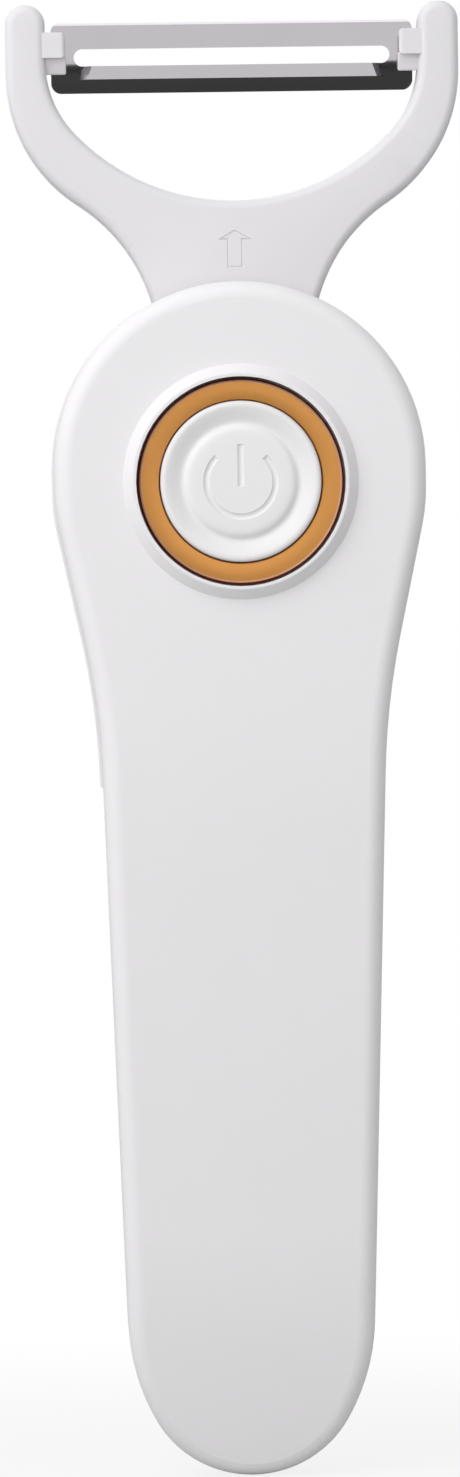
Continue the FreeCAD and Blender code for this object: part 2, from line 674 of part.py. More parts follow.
switch = new_body("switch_body", "0", SWITCH_FRONT, "button_z")
section = new_sketch(switch, "switch_outline", "XZ_Plane")
HALF_SWITCH = "switch_side / 2"
draw_rectangle(section, "-1 * " + HALF_SWITCH, HALF_SWITCH, "-1 * " + HALF_SWITCH, HALF_SWITCH)
block_pad = pad(switch, section, "switch_high", "switch_block")
block_pad.Reversed = True
bore = new_sketch(switch, "switch_bore", "XZ_Plane")
draw_circle(bore, "0", "0", "plunger_radius + running_gap")
doc.recompute()
before_bore = switch.Shape.Volume
pocket(switch, bore, "plunger_free + 1.2", "plunger_bore", False)
doc.recompute()
assert switch.Shape.Volume < before_bore - 1

cylinder(
    "switch_plunger", "Y", "plunger_radius", "plunger_free + 1.1",
    ("0", PLUNGER_TIP, "button_z"),
)

board = new_body("circuit_board", "0", BOARD_FRONT, "0")
section = new_sketch(board, "board_outline", "XZ_Plane")
draw_rectangle(section, "-1 * board_half", "board_half", "board_low_z", "board_high_z")
board_pad = pad(board, section, "board_thick", "board_sheet")
board_pad.Reversed = True
holes = new_sketch(board, "board_holes", "XZ_Plane")
for side in ("", "-1 * "):
    draw_circle(holes, side + "board_post_x", "button_z", "small_screw + 0.1")
doc.recompute()
before_holes = board.Shape.Volume
pocket(board, holes, "board_thick", "board_drilled", False)
doc.recompute()
assert board.Shape.Volume < before_holes - 1

# motor, standing on its end cap below the button

motor = new_body("motor_can", "0", "motor_y", "motor_low_z + motor_cap_long")
section = new_sketch(motor, "can_circle")
draw_circle(section, "0", "0", "motor_half_x")
pad(motor, section, "motor_can_long", "can_round")
flats = new_sketch(motor, "can_flats")
for near, far in (("motor_half_y", "motor_half_x + 2"), ("-1 * motor_half_x - 2", "-1 * motor_half_y")):
    draw_rectangle(flats, "-1 * motor_half_x - 1", "motor_half_x + 1", near, far)
pocket(motor, flats, "motor_can_long", "can_flat_sides", True)
nose = new_sketch(motor, "can_nose", "XY_Plane", "motor_can_long")
draw_circle(nose, "0", "0", "nose_radius")
pad(motor, nose, "nose_high", "can_bearing")
bore = new_sketch(motor, "can_bore")
draw_circle(bore, "0", "0", "shaft_radius + running_gap")
pocket(motor, bore, "motor_can_long + 2", "can_shaft_bore", True)
threads = new_sketch(motor, "can_threads", "XY_Plane", "motor_can_long")
MOTOR_SCREWS = ("-1 * motor_screw_x", "motor_screw_x")
for x in MOTOR_SCREWS:
    draw_circle(threads, x, "0", "small_screw")
pocket(motor, threads, "motor_screw_deep", "can_screw_holes")

end_cap = new_body("motor_end_cap", "0", "motor_y", "motor_low_z")
section = new_sketch(end_cap, "end_circle")
draw_circle(section, "0", "0", "motor_half_x - 0.4")
pad(end_cap, section, "motor_cap_long", "end_round")
flats = new_sketch(end_cap, "end_flats")
for near, far in (
    ("motor_half_y - 0.4", "motor_half_x + 2"), ("-1 * motor_half_x - 2", "0.4 - motor_half_y"),
):
    draw_rectangle(flats, "-1 * motor_half_x - 1", "motor_half_x + 1", near, far)
pocket(end_cap, flats, "motor_cap_long", "end_flat_sides", True)
bore = new_sketch(end_cap, "end_bore", "XY_Plane", "1.2")
draw_circle(bore, "0", "0", "shaft_radius + running_gap")
pocket(end_cap, bore, "motor_cap_long", "end_shaft_bore", True)
doc.recompute()

terminals = [
    block(
        f"terminal_{i}", (x + " - 1.2", "motor_y - motor_half_y - 1.2", "motor_low_z + 1"),
        ("2.4", "1.6", "0.5"),
    )
    for i, x in enumerate(("-1 * terminal_x", "terminal_x"))
]
grouped("motor_terminals", *terminals)

cylinder(
    "motor_shaft", "Z", "shaft_radius", "hub_low_z + hub_high - motor_low_z - 1.4",
    ("0", "motor_y", "motor_low_z + 1.3"),
)

hub = new_body("eccentric_hub", "0", "motor_y", "hub_low_z")
section = new_sketch(hub, "hub_outline")
draw_circle(section, "0", "0", "hub_radius")
draw_circle(section, "0", "0", "shaft_radius")
pad(hub, section, "hub_high", "hub_disc")
hub_flange = new_sketch(hub, "hub_flange")
draw_circle(hub_flange, "0", "0", "hub_radius + 1")
draw_circle(hub_flange, "0", "0", "shaft_radius")
pad(hub, hub_flange, "1", "hub_foot")

PIN_AT = ("throw", "motor_y", "hub_low_z + hub_high")
cylinder("crank_pin", "Z", "crank_pin_radius", "yoke_low_z - hub_low_z - hub_high + yoke_high + 0.6", PIN_AT)
roller_bore = cylinder(
    "roller_bore", "Z", "crank_pin_radius + running_gap", "yoke_high + 1",
    ("throw", "motor_y", "yoke_low_z - 0.5"),
)
roller_disc = cylinder(
    "roller_disc", "Z", "roller_radius", "yoke_high", ("throw", "motor_y", "yoke_low_z")
)
cut("crank_roller", roller_disc, roller_bore)

# drive frame: a plate over the motor and two cheeks that hold the guide rods

INNER_BACK = "rear_depth - wall - frame_back_gap"
MOTOR_TOP = "motor_low_z + motor_cap_long + motor_can_long"
plate = block(
    "frame_plate", ("-1 * frame_half_x", "-2", MOTOR_TOP),
    ("2 * frame_half_x", INNER_BACK + " + 2", "frame_thick"),
)
CHEEK_FRONT = "rod_y - rod_radius - 1.4"
CHEEK_DEEP = INNER_BACK + " - rod_y + rod_radius + 1.4"
CHEEK_HIGH = "rod_high_z + rod_radius + 1.2 - motor_low_z - motor_cap_long - motor_can_long"
cheeks = [
    block(
        f"frame_cheek_{i}", (x, CHEEK_FRONT, MOTOR_TOP), ("frame_thick + 0.6", CHEEK_DEEP, CHEEK_HIGH),
    )
    for i, x in enumerate(("-1 * frame_half_x", "frame_half_x - frame_thick - 0.6"))
]
BELOW_PLATE = MOTOR_TOP + " - 1"
nose_hole = cylinder(
    "frame_nose_hole", "Z", "nose_radius + free_gap", "frame_thick + 2", ("0", "motor_y", BELOW_PLATE)
)
rod_holes = [
    cylinder(
        f"frame_rod_hole_{z}", "X", "rod_radius", "2 * frame_half_x + 2",
        ("-1 * frame_half_x - 1", "rod_y", z),
    )
    for z in ("rod_low_z", "rod_high_z")
]
frame_screw_holes = [
    cylinder(
        f"frame_screw_hole_{i}", "Z", "small_screw + 0.1", "frame_thick + 2", (x, "motor_y", BELOW_PLATE)
    )
    for i, x in enumerate(MOTOR_SCREWS)
]
cut("drive_frame", fused("frame_solid", plate, *cheeks), nose_hole, *rod_holes, *frame_screw_holes)

grouped("guide_rods", *[
    cylinder(f"guide_rod_{z}", "X", "rod_radius", "2 * frame_half_x", ("-1 * frame_half_x", "rod_y", z))
    for z in ("rod_low_z", "rod_high_z")
])

# carriage: yoke, body on the guide rods and the post that carries the fork

POST_MID = "fork_front_y + fork_thick / 2"
yoke = block(
    "yoke_plate", ("-1 * yoke_half_x", "motor_y - 4.6", "yoke_low_z"),
    ("2 * yoke_half_x", "rod_y + carriage_thick / 2 - motor_y + 4.6", "yoke_high"),
)
web = block(
    "carriage_body", ("-1 * carriage_half_x", "rod_y - carriage_thick / 2", "yoke_low_z"),
    ("2 * carriage_half_x", "carriage_thick", "carriage_top_z - yoke_low_z"),
)
post = block(
    "drive_post", ("-1 * post_half_x", POST_MID + " - post_thick / 2", "carriage_top_z - 3"),
    ("2 * post_half_x", "post_thick", "post_top_z - carriage_top_z + 3"),
)
# wider than the roller by the stroke, so the crank clears it at every pose
SLOT_HALF = "( roller_radius + 2 * throw + free_gap )"
SLOT_DEEP = "( roller_radius + throw + free_gap )"
slot_box = block(
    "yoke_slot", ("-1 * " + SLOT_HALF, "motor_y - " + SLOT_DEEP, "yoke_low_z - 1"),
    ("2 * " + SLOT_HALF, "2 * " + SLOT_DEEP, "yoke_high + 2"),
)
bush_seats = [
    cylinder(
        f"bush_seat_{z}", "X", "bush_radius", "2 * carriage_half_x + 2",
        ("-1 * carriage_half_x - 1", "rod_y", z),
    )
    for z in ("rod_low_z", "rod_high_z")
]
WINDOW_HALF = "( carriage_half_x - bush_long - 0.6 )"
window = block(
    "carriage_window",
    ("-1 * " + WINDOW_HALF, "rod_y - carriage_thick", "rod_low_z + bush_radius + 1.2"),
    ("2 * " + WINDOW_HALF, "2 * carriage_thick", "rod_high_z - rod_low_z - 2 * bush_radius - 2.4"),
)
cut("drive_carriage", fused("carriage_solid", yoke, web, post), slot_box, window, *bush_seats)

bushes = []
for z in ("rod_low_z", "rod_high_z"):
    for side, start in (("left", "-1 * carriage_half_x"), ("right", "carriage_half_x - bush_long")):
        sleeve = cylinder(f"bush_{z}_{side}", "X", "bush_radius", "bush_long", (start, "rod_y", z))
        hole = cylinder(f"bush_{z}_{side}_hole", "X", "rod_radius + running_gap", "bush_long + 2",
                        (start + " - 1", "rod_y", z))
        bushes.append(cut(f"bush_{z}_{side}_ring", sleeve, hole))
grouped("carriage_bushes", *bushes)

seal_plate = block(
    "seal_plate", ("-1 * seal_half_x", POST_MID + " - post_thick / 2 - 1.4", "pocket_floor_z + 0.2"),
    ("2 * seal_half_x", "post_thick + 2.8", "seal_thick"),
)
seal_hole = block("seal_hole", ("-1 * post_half_x", POST_MID + " - post_thick / 2", "pocket_floor_z - 1"),
                  ("2 * post_half_x", "post_thick", "seal_thick + 3"))
cut("post_seal", seal_plate, seal_hole)


def fork_shape():
    """Removable fork: two arms round the gap, sweeping down into the neck."""
    top_z = mm("fork_top_z")
    gap = mm("gap_half")
    half = gap + mm("arm_wide")
    tip = mm("arm_wide") / 2
    # the rounding may not take more than a third of an arm
    edge = min(mm("fork_edge"), mm("arm_wide") / 3)
    shoulder = mm("fork_shoulder")
    sweep = mm("neck_sweep")
    shoulder_z = mm("fork_shoulder_z")
    across = mm("neck_half") + sweep - half + shoulder
    down = math.sqrt((shoulder + sweep) ** 2 - across ** 2)
    lean = math.atan2(down, across)
    sweep_x = mm("neck_half") + sweep
    sweep_z = shoulder_z - down
    low_z = mm("pocket_floor_z") + 0.2 + mm("seal_thick") + mm("free_gap")
    low_angle = math.asin((low_z - sweep_z) / sweep)
    join_angle = math.asin((shoulder_z - shoulder * math.sin(lean) - sweep_z) / sweep)
    vec = FreeCAD.Vector

    def on(side, cx, cz, r, angle):
        return vec(side * (cx + r * math.cos(angle)), 0, cz + r * math.sin(angle))

    edges = []
    lows = []
    for side in (1, -1):
        outer_top = vec(side * half, 0, top_z - tip)
        inner_top = vec(side * gap, 0, top_z - tip)
        edges.append(Part.Arc(inner_top, vec(side * (half - tip), 0, top_z), outer_top).toShape())
        shoulder_top = vec(side * half, 0, shoulder_z)
        edges.append(Part.makeLine(outer_top, shoulder_top))
        centre_x = half - shoulder
        join = on(side, centre_x, shoulder_z, shoulder, -lean)
        bulge = on(side, centre_x, shoulder_z, shoulder, -lean / 2)
        edges.append(Part.Arc(shoulder_top, bulge, join).toShape())
        low = on(side, sweep_x, sweep_z, -sweep, -low_angle)
        middle = on(side, sweep_x, sweep_z, -sweep, -(low_angle + join_angle) / 2)
        edges.append(Part.Arc(join, middle, low).toShape())
        edges.append(Part.makeLine(inner_top, vec(side * gap, 0, mm("gap_spring_z"))))
        lows.append(low)
    edges.append(Part.makeLine(lows[0], lows[1]))
    # the foot of the gap is a three-centred arch: a wide arc between two tighter ones
    spring_z = mm("gap_spring_z")
    depth = mm("gap_depth")
    corner = mm("gap_corner")
    wide = ((gap - corner) ** 2 + depth ** 2 - corner ** 2) / (2 * (depth - corner))
    wide_z = spring_z + wide - depth
    fall = math.atan2(wide_z - spring_z, gap - corner)
    meets = []
    for side in (1, -1):
        start = vec(side * gap, 0, spring_z)
        end = on(side, gap - corner, spring_z, corner, -fall)
        middle = on(side, gap - corner, spring_z, corner, -fall / 2)
        edges.append(Part.Arc(start, middle, end).toShape())
        meets.append(end)
    edges.append(Part.Arc(meets[0], vec(0, 0, spring_z - depth), meets[1]).toShape())
    face = Part.Face(Part.Wire(Part.__sortEdges__(edges)))
    front_y = mm("fork_front_y")
    body = face.extrude(vec(0, mm("fork_thick"), 0))
    body.translate(vec(0, front_y, 0))

    rims = [e for e in body.Edges if not is_along(e, "y") and e.BoundBox.ZMax > low_z + 1]
    body = body.makeFillet(edge, [e for e in rims if e.CenterOfMass.y < front_y + 0.01])
    back_rims = [
        e for e in body.Edges
        if abs(e.CenterOfMass.y - fork_rear_y) < 0.01 and e.BoundBox.ZMax > low_z + 1
    ]
    body = body.makeChamfer(edge / 2, back_rims)
    # tabs that keep the blade from swinging out past the arms
    tabs = []
    for side in (1, -1):
        low_x, high_x = sorted((side * (gap - mm("tab_long")), side * (gap + 1)))
        tab = slab_between(
            (low_x, front_y + mm("tab_set_back"), mm("tab_low_z")),
            (high_x, front_y + mm("tab_set_back") + mm("tab_thick"), mm("tab_low_z") + mm("tab_high")),
        )
        inner_x = side * (gap - mm("tab_long"))
        soft = [e for e in tab.Edges if abs(e.CenterOfMass.x - inner_x) < 0.01]
        tabs.append(tab.makeFillet(0.6, soft))
    body = body.fuse(tabs)
    # socket for the drive post and bearings for the blade pins
    post_mid = front_y + mm("fork_thick") / 2
    fit = mm("post_fit")
    socket = slab_between(
        (-mm("post_half_x") - fit, post_mid - mm("post_thick") / 2 - fit, low_z - 1),
        (mm("post_half_x") + fit, post_mid + mm("post_thick") / 2 + fit, mm("post_top_z") + mm("free_gap")),
    )
    bearings = [
        Part.makeCylinder(
            mm("pin_radius") + mm("running_gap"), mm("pin_depth") + mm("free_gap") + 1,
            vec(side * (gap - 1), mm("pivot_y"), mm("pivot_z")), vec(side, 0, 0),
        )
        for side in (1, -1)
    ]
    return body.cut([socket] + bearings).removeSplitter()


def blade_shape():
    """Bowed steel blade with its slot, cutting lip and two ears bent back."""
    vec = FreeCAD.Vector
    bow = mm("blade_bow")
    end_x = mm("gap_half") - mm("blade_end_gap")
    centre_y = mm("blade_front_y") + bow
    mid_z = mm("pivot_z")
    half_angle = math.asin(mm("blade_high") / 2 / bow)

    def section_arc(radius):
        points = [
            vec(-end_x, centre_y - radius * math.cos(angle), mid_z + radius * math.sin(angle))
            for angle in (-half_angle, 0, half_angle)
        ]
        return Part.Arc(*points).toShape(), points[0], points[2]

    front, front_low, front_high = section_arc(bow)
    back, back_low, back_high = section_arc(bow - mm("blade_thick"))
    section = Part.Wire([
        front, Part.makeLine(front_high, back_high), back, Part.makeLine(back_low, front_low),
    ])
    plate = Part.Face(section).extrude(vec(2 * end_x, 0, 0))
    corners = [
        e for e in plate.Edges
        if abs(abs(e.CenterOfMass.x) - end_x) < 0.01 and e.Length < 2 * mm("blade_thick")
    ]
    plate = plate.makeFillet(1.5, corners)
    # the lip below the slot stands forward and ends in the cutting edge
    edge_z = mid_z + mm("slot_low")
    edge_angle = math.asin(mm("slot_low") / bow)
    foot_angle = math.asin((mm("slot_low") - mm("lip_high")) / bow)
    lip_x = -mm("slot_half")
    inside = bow - mm("blade_thick") / 2
    foot = vec(lip_x, centre_y - bow * math.cos(foot_angle) + 0.1, mid_z + bow * math.sin(foot_angle))
    root = vec(lip_x, centre_y - inside * math.cos(edge_angle), edge_z)
    tip = vec(lip_x, centre_y - bow * math.cos(edge_angle) - mm("lip_rise"), edge_z)
    lip = Part.Face(Part.makePolygon([foot, root, tip, foot])).extrude(vec(2 * mm("slot_half"), 0, 0))
    slot_mid = mid_z + (mm("slot_low") + mm("slot_high")) / 2
    slot_r = (mm("slot_high") - mm("slot_low")) / 2
    middle = slab_between(
        (-mm("slot_half") + slot_r, mm("blade_front_y") - 3, slot_mid - slot_r),
        (mm("slot_half") - slot_r, mm("pivot_y") + 3, slot_mid + slot_r),
    )
    ends = [
        rod_along_y(
            slot_r, side * (mm("slot_half") - slot_r), slot_mid,
            mm("blade_front_y") - 3, mm("pivot_y") + 3,
        )
        for side in (-1, 1)
    ]
    ears = []
    for side in (-1, 1):
        low_x, high_x = sorted((side * (end_x - mm("blade_thick")), side * end_x))
        ear = slab_between(
            (low_x, centre_y - bow + 0.35, mid_z - mm("ear_high") / 2),
            (high_x, mm("pivot_y") + mm("ear_deep") / 2, mid_z + mm("ear_high") / 2),
        )
        tail = [e for e in ear.Edges if is_along(e, "x") and e.CenterOfMass.y > mm("pivot_y")]
        ear = ear.makeFillet(1.4, tail)
        start = vec(side * (end_x - 2), mm("pivot_y"), mid_z)
        bore = Part.makeCylinder(mm("pin_radius"), 4, start, vec(side, 0, 0))
        ears.append(ear.cut(bore))
    blade = plate.fuse([lip]).cut([middle] + ends).fuse(ears)
    ahead = Part.makeCylinder(bow, 2 * end_x + 2, vec(-end_x - 1, centre_y, mid_z), vec(1, 0, 0))
    return blade.common(ahead.fuse(lip)).removeSplitter()


feature("fork_head", fork_shape())
feature("blade_plate", blade_shape())

PIN_START = "gap_half - blade_end_gap - blade_thick - 0.6"
PIN_LONG = "blade_end_gap + blade_thick + 0.6 + pin_depth"
right_pin = cylinder("blade_pin_right", "X", "pin_radius", PIN_LONG, (PIN_START, "pivot_y", "pivot_z"))
left_pin = cylinder("blade_pin_left", "X", "pin_radius", PIN_LONG,
                    ("-1 * ( " + PIN_START + " + " + PIN_LONG + " )", "pivot_y", "pivot_z"))
grouped("blade_pins", right_pin, left_pin)

# battery tray, cells and contacts

CELL_TOP = "cell_low_z + cell_long + nub_high"
TRAY_LOW = "cell_low_z - contact_room - tray_end_wall"
TRAY_LONG = "cell_long + nub_high + 2 * contact_room + 2 * tray_end_wall"
tray_block = block("tray_block", ("-1 * tray_half", "tray_front_y", TRAY_LOW),
                   ("2 * tray_half", "tray_rear_y - tray_front_y", TRAY_LONG))
BAY_LOW = "cell_low_z - contact_room"
BAY_LONG = "cell_long + nub_high + 2 * contact_room"
troughs = [
    cylinder(f"trough_{i}", "Z", "cell_radius + 0.15", BAY_LONG, (x, "cell_y", BAY_LOW))
    for i, x in enumerate(("-1 * cell_x", "cell_x"))
]
tray_screw_holes = [
    cylinder(f"tray_screw_hole_{i}", "Y", "small_screw + 0.1", "6", ("0", "tray_front_y - 1", z))
    for i, z in enumerate(("cell_low_z + tray_screw_inset", "cell_low_z + cell_long - tray_screw_inset"))
]
tray_head_seats = [
    cylinder(f"tray_head_seat_{i}", "Y", "small_head + 0.1", "12", ("0", "tray_front_y + 2", z))
    for i, z in enumerate(("cell_low_z + tray_screw_inset", "cell_low_z + cell_long - tray_screw_inset"))
]
CONTACT_FRONT = "cell_y - contact_deep / 2"
bridge_gap = block(
    "bridge_gap", ("-1 * cell_x", CONTACT_FRONT, BAY_LOW), ("2 * cell_x", "contact_deep", "contact_thick")
)
cut("battery_tray", tray_block, *troughs, *tray_screw_holes, *tray_head_seats, bridge_gap)

for name, x, nub_z in (
    ("battery_cell_left", "-1 * cell_x", "cell_low_z + cell_long"),
    ("battery_cell_right", "cell_x", "cell_low_z"),
):
    upside = name.endswith("left")
    can_z = "cell_low_z" if upside else "cell_low_z + nub_high"
    can = cylinder(name + "_can", "Z", "cell_radius", "cell_long", (x, "cell_y", can_z))
    nub = cylinder(name + "_nub", "Z", "nub_radius", "nub_high", (x, "cell_y", nub_z))
    fused(name, can, nub)

contact_parts = []
for side, x in (("left", "-1 * cell_x"), ("right", "cell_x")):
    wall_z = CELL_TOP + " + contact_room"
    blade_z = wall_z + " - contact_thick"
    upright = block(
        f"contact_{side}_upright", (x + " - contact_half", CONTACT_FRONT, blade_z),
        ("2 * contact_half", "contact_deep", "contact_thick"),
    )
    over = block(
        f"contact_{side}_over", (x + " - 2", "tray_rear_y", blade_z),
        ("4", "contact_thick", "tray_end_wall + 2 * contact_thick"),
    )
    leg = block(
        f"contact_{side}_leg", (x + " - 2", "tray_rear_y - 4", wall_z + " + tray_end_wall"),
        ("4", "4 + contact_thick", "contact_thick"),
    )
    dimple = cylinder(
        f"contact_{side}_dimple", "Z", "nub_radius", "contact_room - contact_thick", (x, "cell_y", CELL_TOP)
    )
    contact_parts.append(fused(f"contact_{side}", upright, over, leg, dimple))
grouped("contact_plates", *contact_parts)

bridge = block(
    "bridge_plate", ("-1 * cell_x - contact_half", CONTACT_FRONT, BAY_LOW),
    ("2 * cell_x + 2 * contact_half", "contact_deep", "contact_thick"),
)
domes = [
    cylinder(f"bridge_dome_{i}", "Z", "nub_radius", "contact_room", (x, "cell_y", BAY_LOW))
    for i, x in enumerate(("-1 * cell_x", "cell_x"))
]
fused("contact_bridge", bridge, *domes)


# leads: straight runs joined by tangent arcs

def lead_path(points, bend):
    """Path through the points with each corner rounded to the bend radius."""
    edges = []
    last = points[0]
    for before, corner, after in zip(points, points[1:], points[2:]):
        back = (before - corner).normalize()
        ahead = (after - corner).normalize()
        half_turn = back.getAngle(ahead) / 2
        trim = bend / math.tan(half_turn)
        start = corner + back * trim
        end = corner + ahead * trim
        middle = corner + (back + ahead).normalize() * (bend / math.sin(half_turn) - bend)
        edges.append(Part.makeLine(last, start))
        edges.append(Part.Arc(start, middle, end).toShape())
        last = end
    edges.append(Part.makeLine(last, points[-1]))
    return Part.Wire(edges)


def lead(points, bend):
    """A thin insulated lead; hidden inside, so its section has only six sides."""
    path = lead_path(points, bend)
    start = points[0]
    ahead = (points[1] - start).normalize()
    across = ahead.cross(FreeCAD.Vector(1, 0, 0)).normalize() * mm("lead_radius")
    corners = [start + FreeCAD.Rotation(ahead, 60 * i).multVec(across) for i in range(6)]
    return path.makePipeShell([Part.makePolygon(corners + corners[:1])], True, False)


def lead_pair(name, route, bend):
    """The same route on both sides of the middle plane."""
    pair = []
    for side in (-1, 1):
        points = [FreeCAD.Vector(side * x, y, z) for x, y, z in route]
        pair.append(lead(points, bend))
    return feature(name, Part.makeCompound(pair))


contact_top_z = (
    mm("cell_low_z") + mm("cell_long") + mm("nub_high") + mm("contact_room")
    + mm("tray_end_wall") + mm("contact_thick")
)
front_lane_y = -3.8
lane_x = mm("motor_half_x") + mm("lead_beside")
lead_pair("battery_leads", (
    (mm("cell_x"), 0.4, contact_top_z),
    (mm("cell_x"), 0.4, contact_top_z + 8),
    (lane_x, front_lane_y, contact_top_z + mm("lead_slant")),
    (lane_x, front_lane_y, mm("board_low_z") + 2),
    (lane_x, board_front_y, mm("board_low_z") + 2),
), 2.5)
terminal_z = mm("motor_low_z") + 1.5
terminal_y = mm("motor_y") - mm("motor_half_y") - mm("lead_radius") - 0.3
lead_pair("motor_leads", (
    (mm("terminal_x"), terminal_y, terminal_z),
    (mm("terminal_x"), terminal_y, terminal_z + 4),
    (mm("terminal_x"), -5.2, terminal_z + 9),
    (mm("terminal_x"), -5.2, mm("board_low_z") + 2),
    (mm("terminal_x"), board_front_y, mm("board_low_z") + 2),
), 2.0)

# screws: each kind is turned once and copied to its places

def screw_shape(shank, long, head, head_high):
    """A pan-head screw that points down, with its head on top."""
    body = Part.makeCylinder(shank, long)
    top = Part.makeCone(head, head - head_high / 3, head_high, FreeCAD.Vector(0, 0, long))
    return body.fuse(top).removeSplitter()


def screws_along_y(name, shape, places):
    """Screws with their points towards -Y; each place is where the head seats."""
    copies = []
    for x, y, z, reach in places:
        copy = shape.copy()
        copy.rotate(FreeCAD.Vector(), FreeCAD.Vector(1, 0, 0), -90)
        copy.translate(FreeCAD.Vector(x, y - reach, z))
        copies.append(copy)
    return feature(name, Part.makeCompound(copies))


case_seat_y = mm("rear_depth") - mm("case_screw_sink")
case_reach = case_seat_y + mm("case_screw_reach")
case_screw = screw_shape(mm("screw_radius"), case_reach, mm("screw_head"), mm("screw_head_high"))
screws_along_y("case_screws", case_screw, [(x, case_seat_y, z, case_reach) for x, z in CASE_SCREWS])

SMALL_HEAD = (mm("small_head"), mm("small_head_high"))
board_screw = screw_shape(mm("small_screw"), mm("board_screw_long"), *SMALL_HEAD)
screws_along_y("board_screws", board_screw, [
    (side * mm("board_post_x"), board_rear_y, mm("button_z"), mm("board_screw_long")) for side in (-1, 1)
])
tray_screw = screw_shape(mm("small_screw"), mm("tray_screw_long"), *SMALL_HEAD)
screws_along_y("tray_screws", tray_screw, [
    (0, mm("tray_front_y") + 2, z, mm("tray_screw_long")) for z in TRAY_SCREW_Z
])
motor_screw = screw_shape(mm("small_screw"), mm("motor_screw_long"), *SMALL_HEAD)
motor_screws = []
for side in (-1, 1):
    copy = motor_screw.copy()
    motor_screw_z = motor_top_z + mm("frame_thick") - mm("motor_screw_long")
    copy.translate(FreeCAD.Vector(side * mm("motor_screw_x"), mm("motor_y"), motor_screw_z))
    motor_screws.append(copy)
feature("motor_screws", Part.makeCompound(motor_screws))

NODES = (
    "front_cover", "rear_housing", "battery_door", "battery_tray", "battery_cell_left",
    "battery_cell_right", "contact_plates", "contact_bridge", "button_ring", "button_cap",
    "switch_body", "switch_plunger", "circuit_board", "board_screws", "motor_can", "motor_end_cap",
    "motor_terminals", "motor_shaft", "eccentric_hub", "crank_pin", "crank_roller", "drive_frame",
    "guide_rods", "drive_carriage", "carriage_bushes", "post_seal", "fork_head", "blade_plate",
    "blade_pins", "battery_leads", "motor_leads", "case_screws", "tray_screws", "motor_screws",
)

doc.recompute()
for thing in doc.Objects:
    faults = [state for state in thing.State if state in ("Invalid", "Error")]
    if faults:
        raise RuntimeError(f"{thing.Name} is {faults}")

os.makedirs("parts", exist_ok=True)
triangles = 0
for node in NODES:
    piece = doc.getObject(node)
    piece.Label = node
    shape = piece.Shape
    if shape.isNull() or not shape.isValid():
        raise RuntimeError(f"{node} has no valid shape")
    shape.exportStep(f"parts/{node}.step")
    sag = min(max(shape.BoundBox.DiagonalLength * 2e-4, 0.01), 0.5)
    count = MeshPart.meshFromShape(Shape=shape, LinearDeflection=sag, AngularDeflection=0.3).CountFacets
    triangles += count
    print(f"{node}: {len(shape.Solids)} solids, {shape.Volume:.1f} mm3, {count} triangles")
print(len(NODES), "nodes,", triangles, "triangles")
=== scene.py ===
# %% [markdown]
# An electric potato peeler, dressed for the camera.
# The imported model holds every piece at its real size. This lesson gives each piece its
# finish, and models again the few pieces whose surface carries fine detail: the dished
# button, its trim ring, the fork with its arrow, and the blade.

# %% Load the frame
import math
import bpy
from mathutils import Matrix, Vector


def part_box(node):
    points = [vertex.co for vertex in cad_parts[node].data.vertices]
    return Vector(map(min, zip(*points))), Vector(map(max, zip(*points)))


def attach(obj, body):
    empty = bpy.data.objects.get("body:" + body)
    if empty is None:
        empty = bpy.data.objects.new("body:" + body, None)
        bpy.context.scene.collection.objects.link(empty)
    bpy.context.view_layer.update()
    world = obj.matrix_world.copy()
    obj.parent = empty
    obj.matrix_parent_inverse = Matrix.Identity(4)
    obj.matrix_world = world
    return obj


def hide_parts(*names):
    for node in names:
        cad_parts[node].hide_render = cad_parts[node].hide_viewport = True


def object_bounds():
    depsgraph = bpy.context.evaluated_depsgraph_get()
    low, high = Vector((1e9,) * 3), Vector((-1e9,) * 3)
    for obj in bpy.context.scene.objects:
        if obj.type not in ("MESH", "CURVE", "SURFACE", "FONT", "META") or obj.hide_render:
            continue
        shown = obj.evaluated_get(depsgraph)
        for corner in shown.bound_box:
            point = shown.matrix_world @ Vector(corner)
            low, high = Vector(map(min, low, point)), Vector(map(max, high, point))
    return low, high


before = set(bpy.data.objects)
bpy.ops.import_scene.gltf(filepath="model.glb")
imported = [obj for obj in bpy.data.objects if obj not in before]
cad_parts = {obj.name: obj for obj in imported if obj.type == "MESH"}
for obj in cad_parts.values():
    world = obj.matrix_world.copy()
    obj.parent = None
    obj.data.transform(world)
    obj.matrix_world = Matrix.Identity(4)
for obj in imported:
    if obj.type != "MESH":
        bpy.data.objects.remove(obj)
cad_low, cad_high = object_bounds()
MM = 0.001
print("model box in mm:", [round(v / MM, 1) for v in (*cad_low, *cad_high)])

# %% [markdown]
# Operators act on everything that is selected, so each step starts by clearing the
# selection and making one object active. These small helpers keep that in one place.

# %% Selection helpers


def only(obj):
    """Select one object and make it active."""
    if bpy.context.object and bpy.context.object.mode != "OBJECT":
        bpy.ops.object.mode_set(mode="OBJECT")
    bpy.ops.object.select_all(action="DESELECT")
    obj.select_set(True)
    bpy.context.view_layer.objects.active = obj
    return obj


def settle(obj):
    """Put the object's place, turn and scale into its mesh."""
    only(obj)
    bpy.ops.object.transform_apply(location=True, rotation=True, scale=True)
    return obj


def apply_modifier(obj, kind, **settings):
    """Add one modifier, set it and turn it into plain mesh."""
    only(obj)
    modifier = obj.modifiers.new(kind.title(), kind)
    for name, value in settings.items():
        setattr(modifier, name, value)
    bpy.ops.object.modifier_apply(modifier=modifier.name)
    return obj


def smooth(obj, degrees):
    """Smooth shading, with a crease where faces meet at more than the angle."""
    only(obj)
    bpy.ops.object.shade_smooth_by_angle(angle=math.radians(degrees))
    return obj


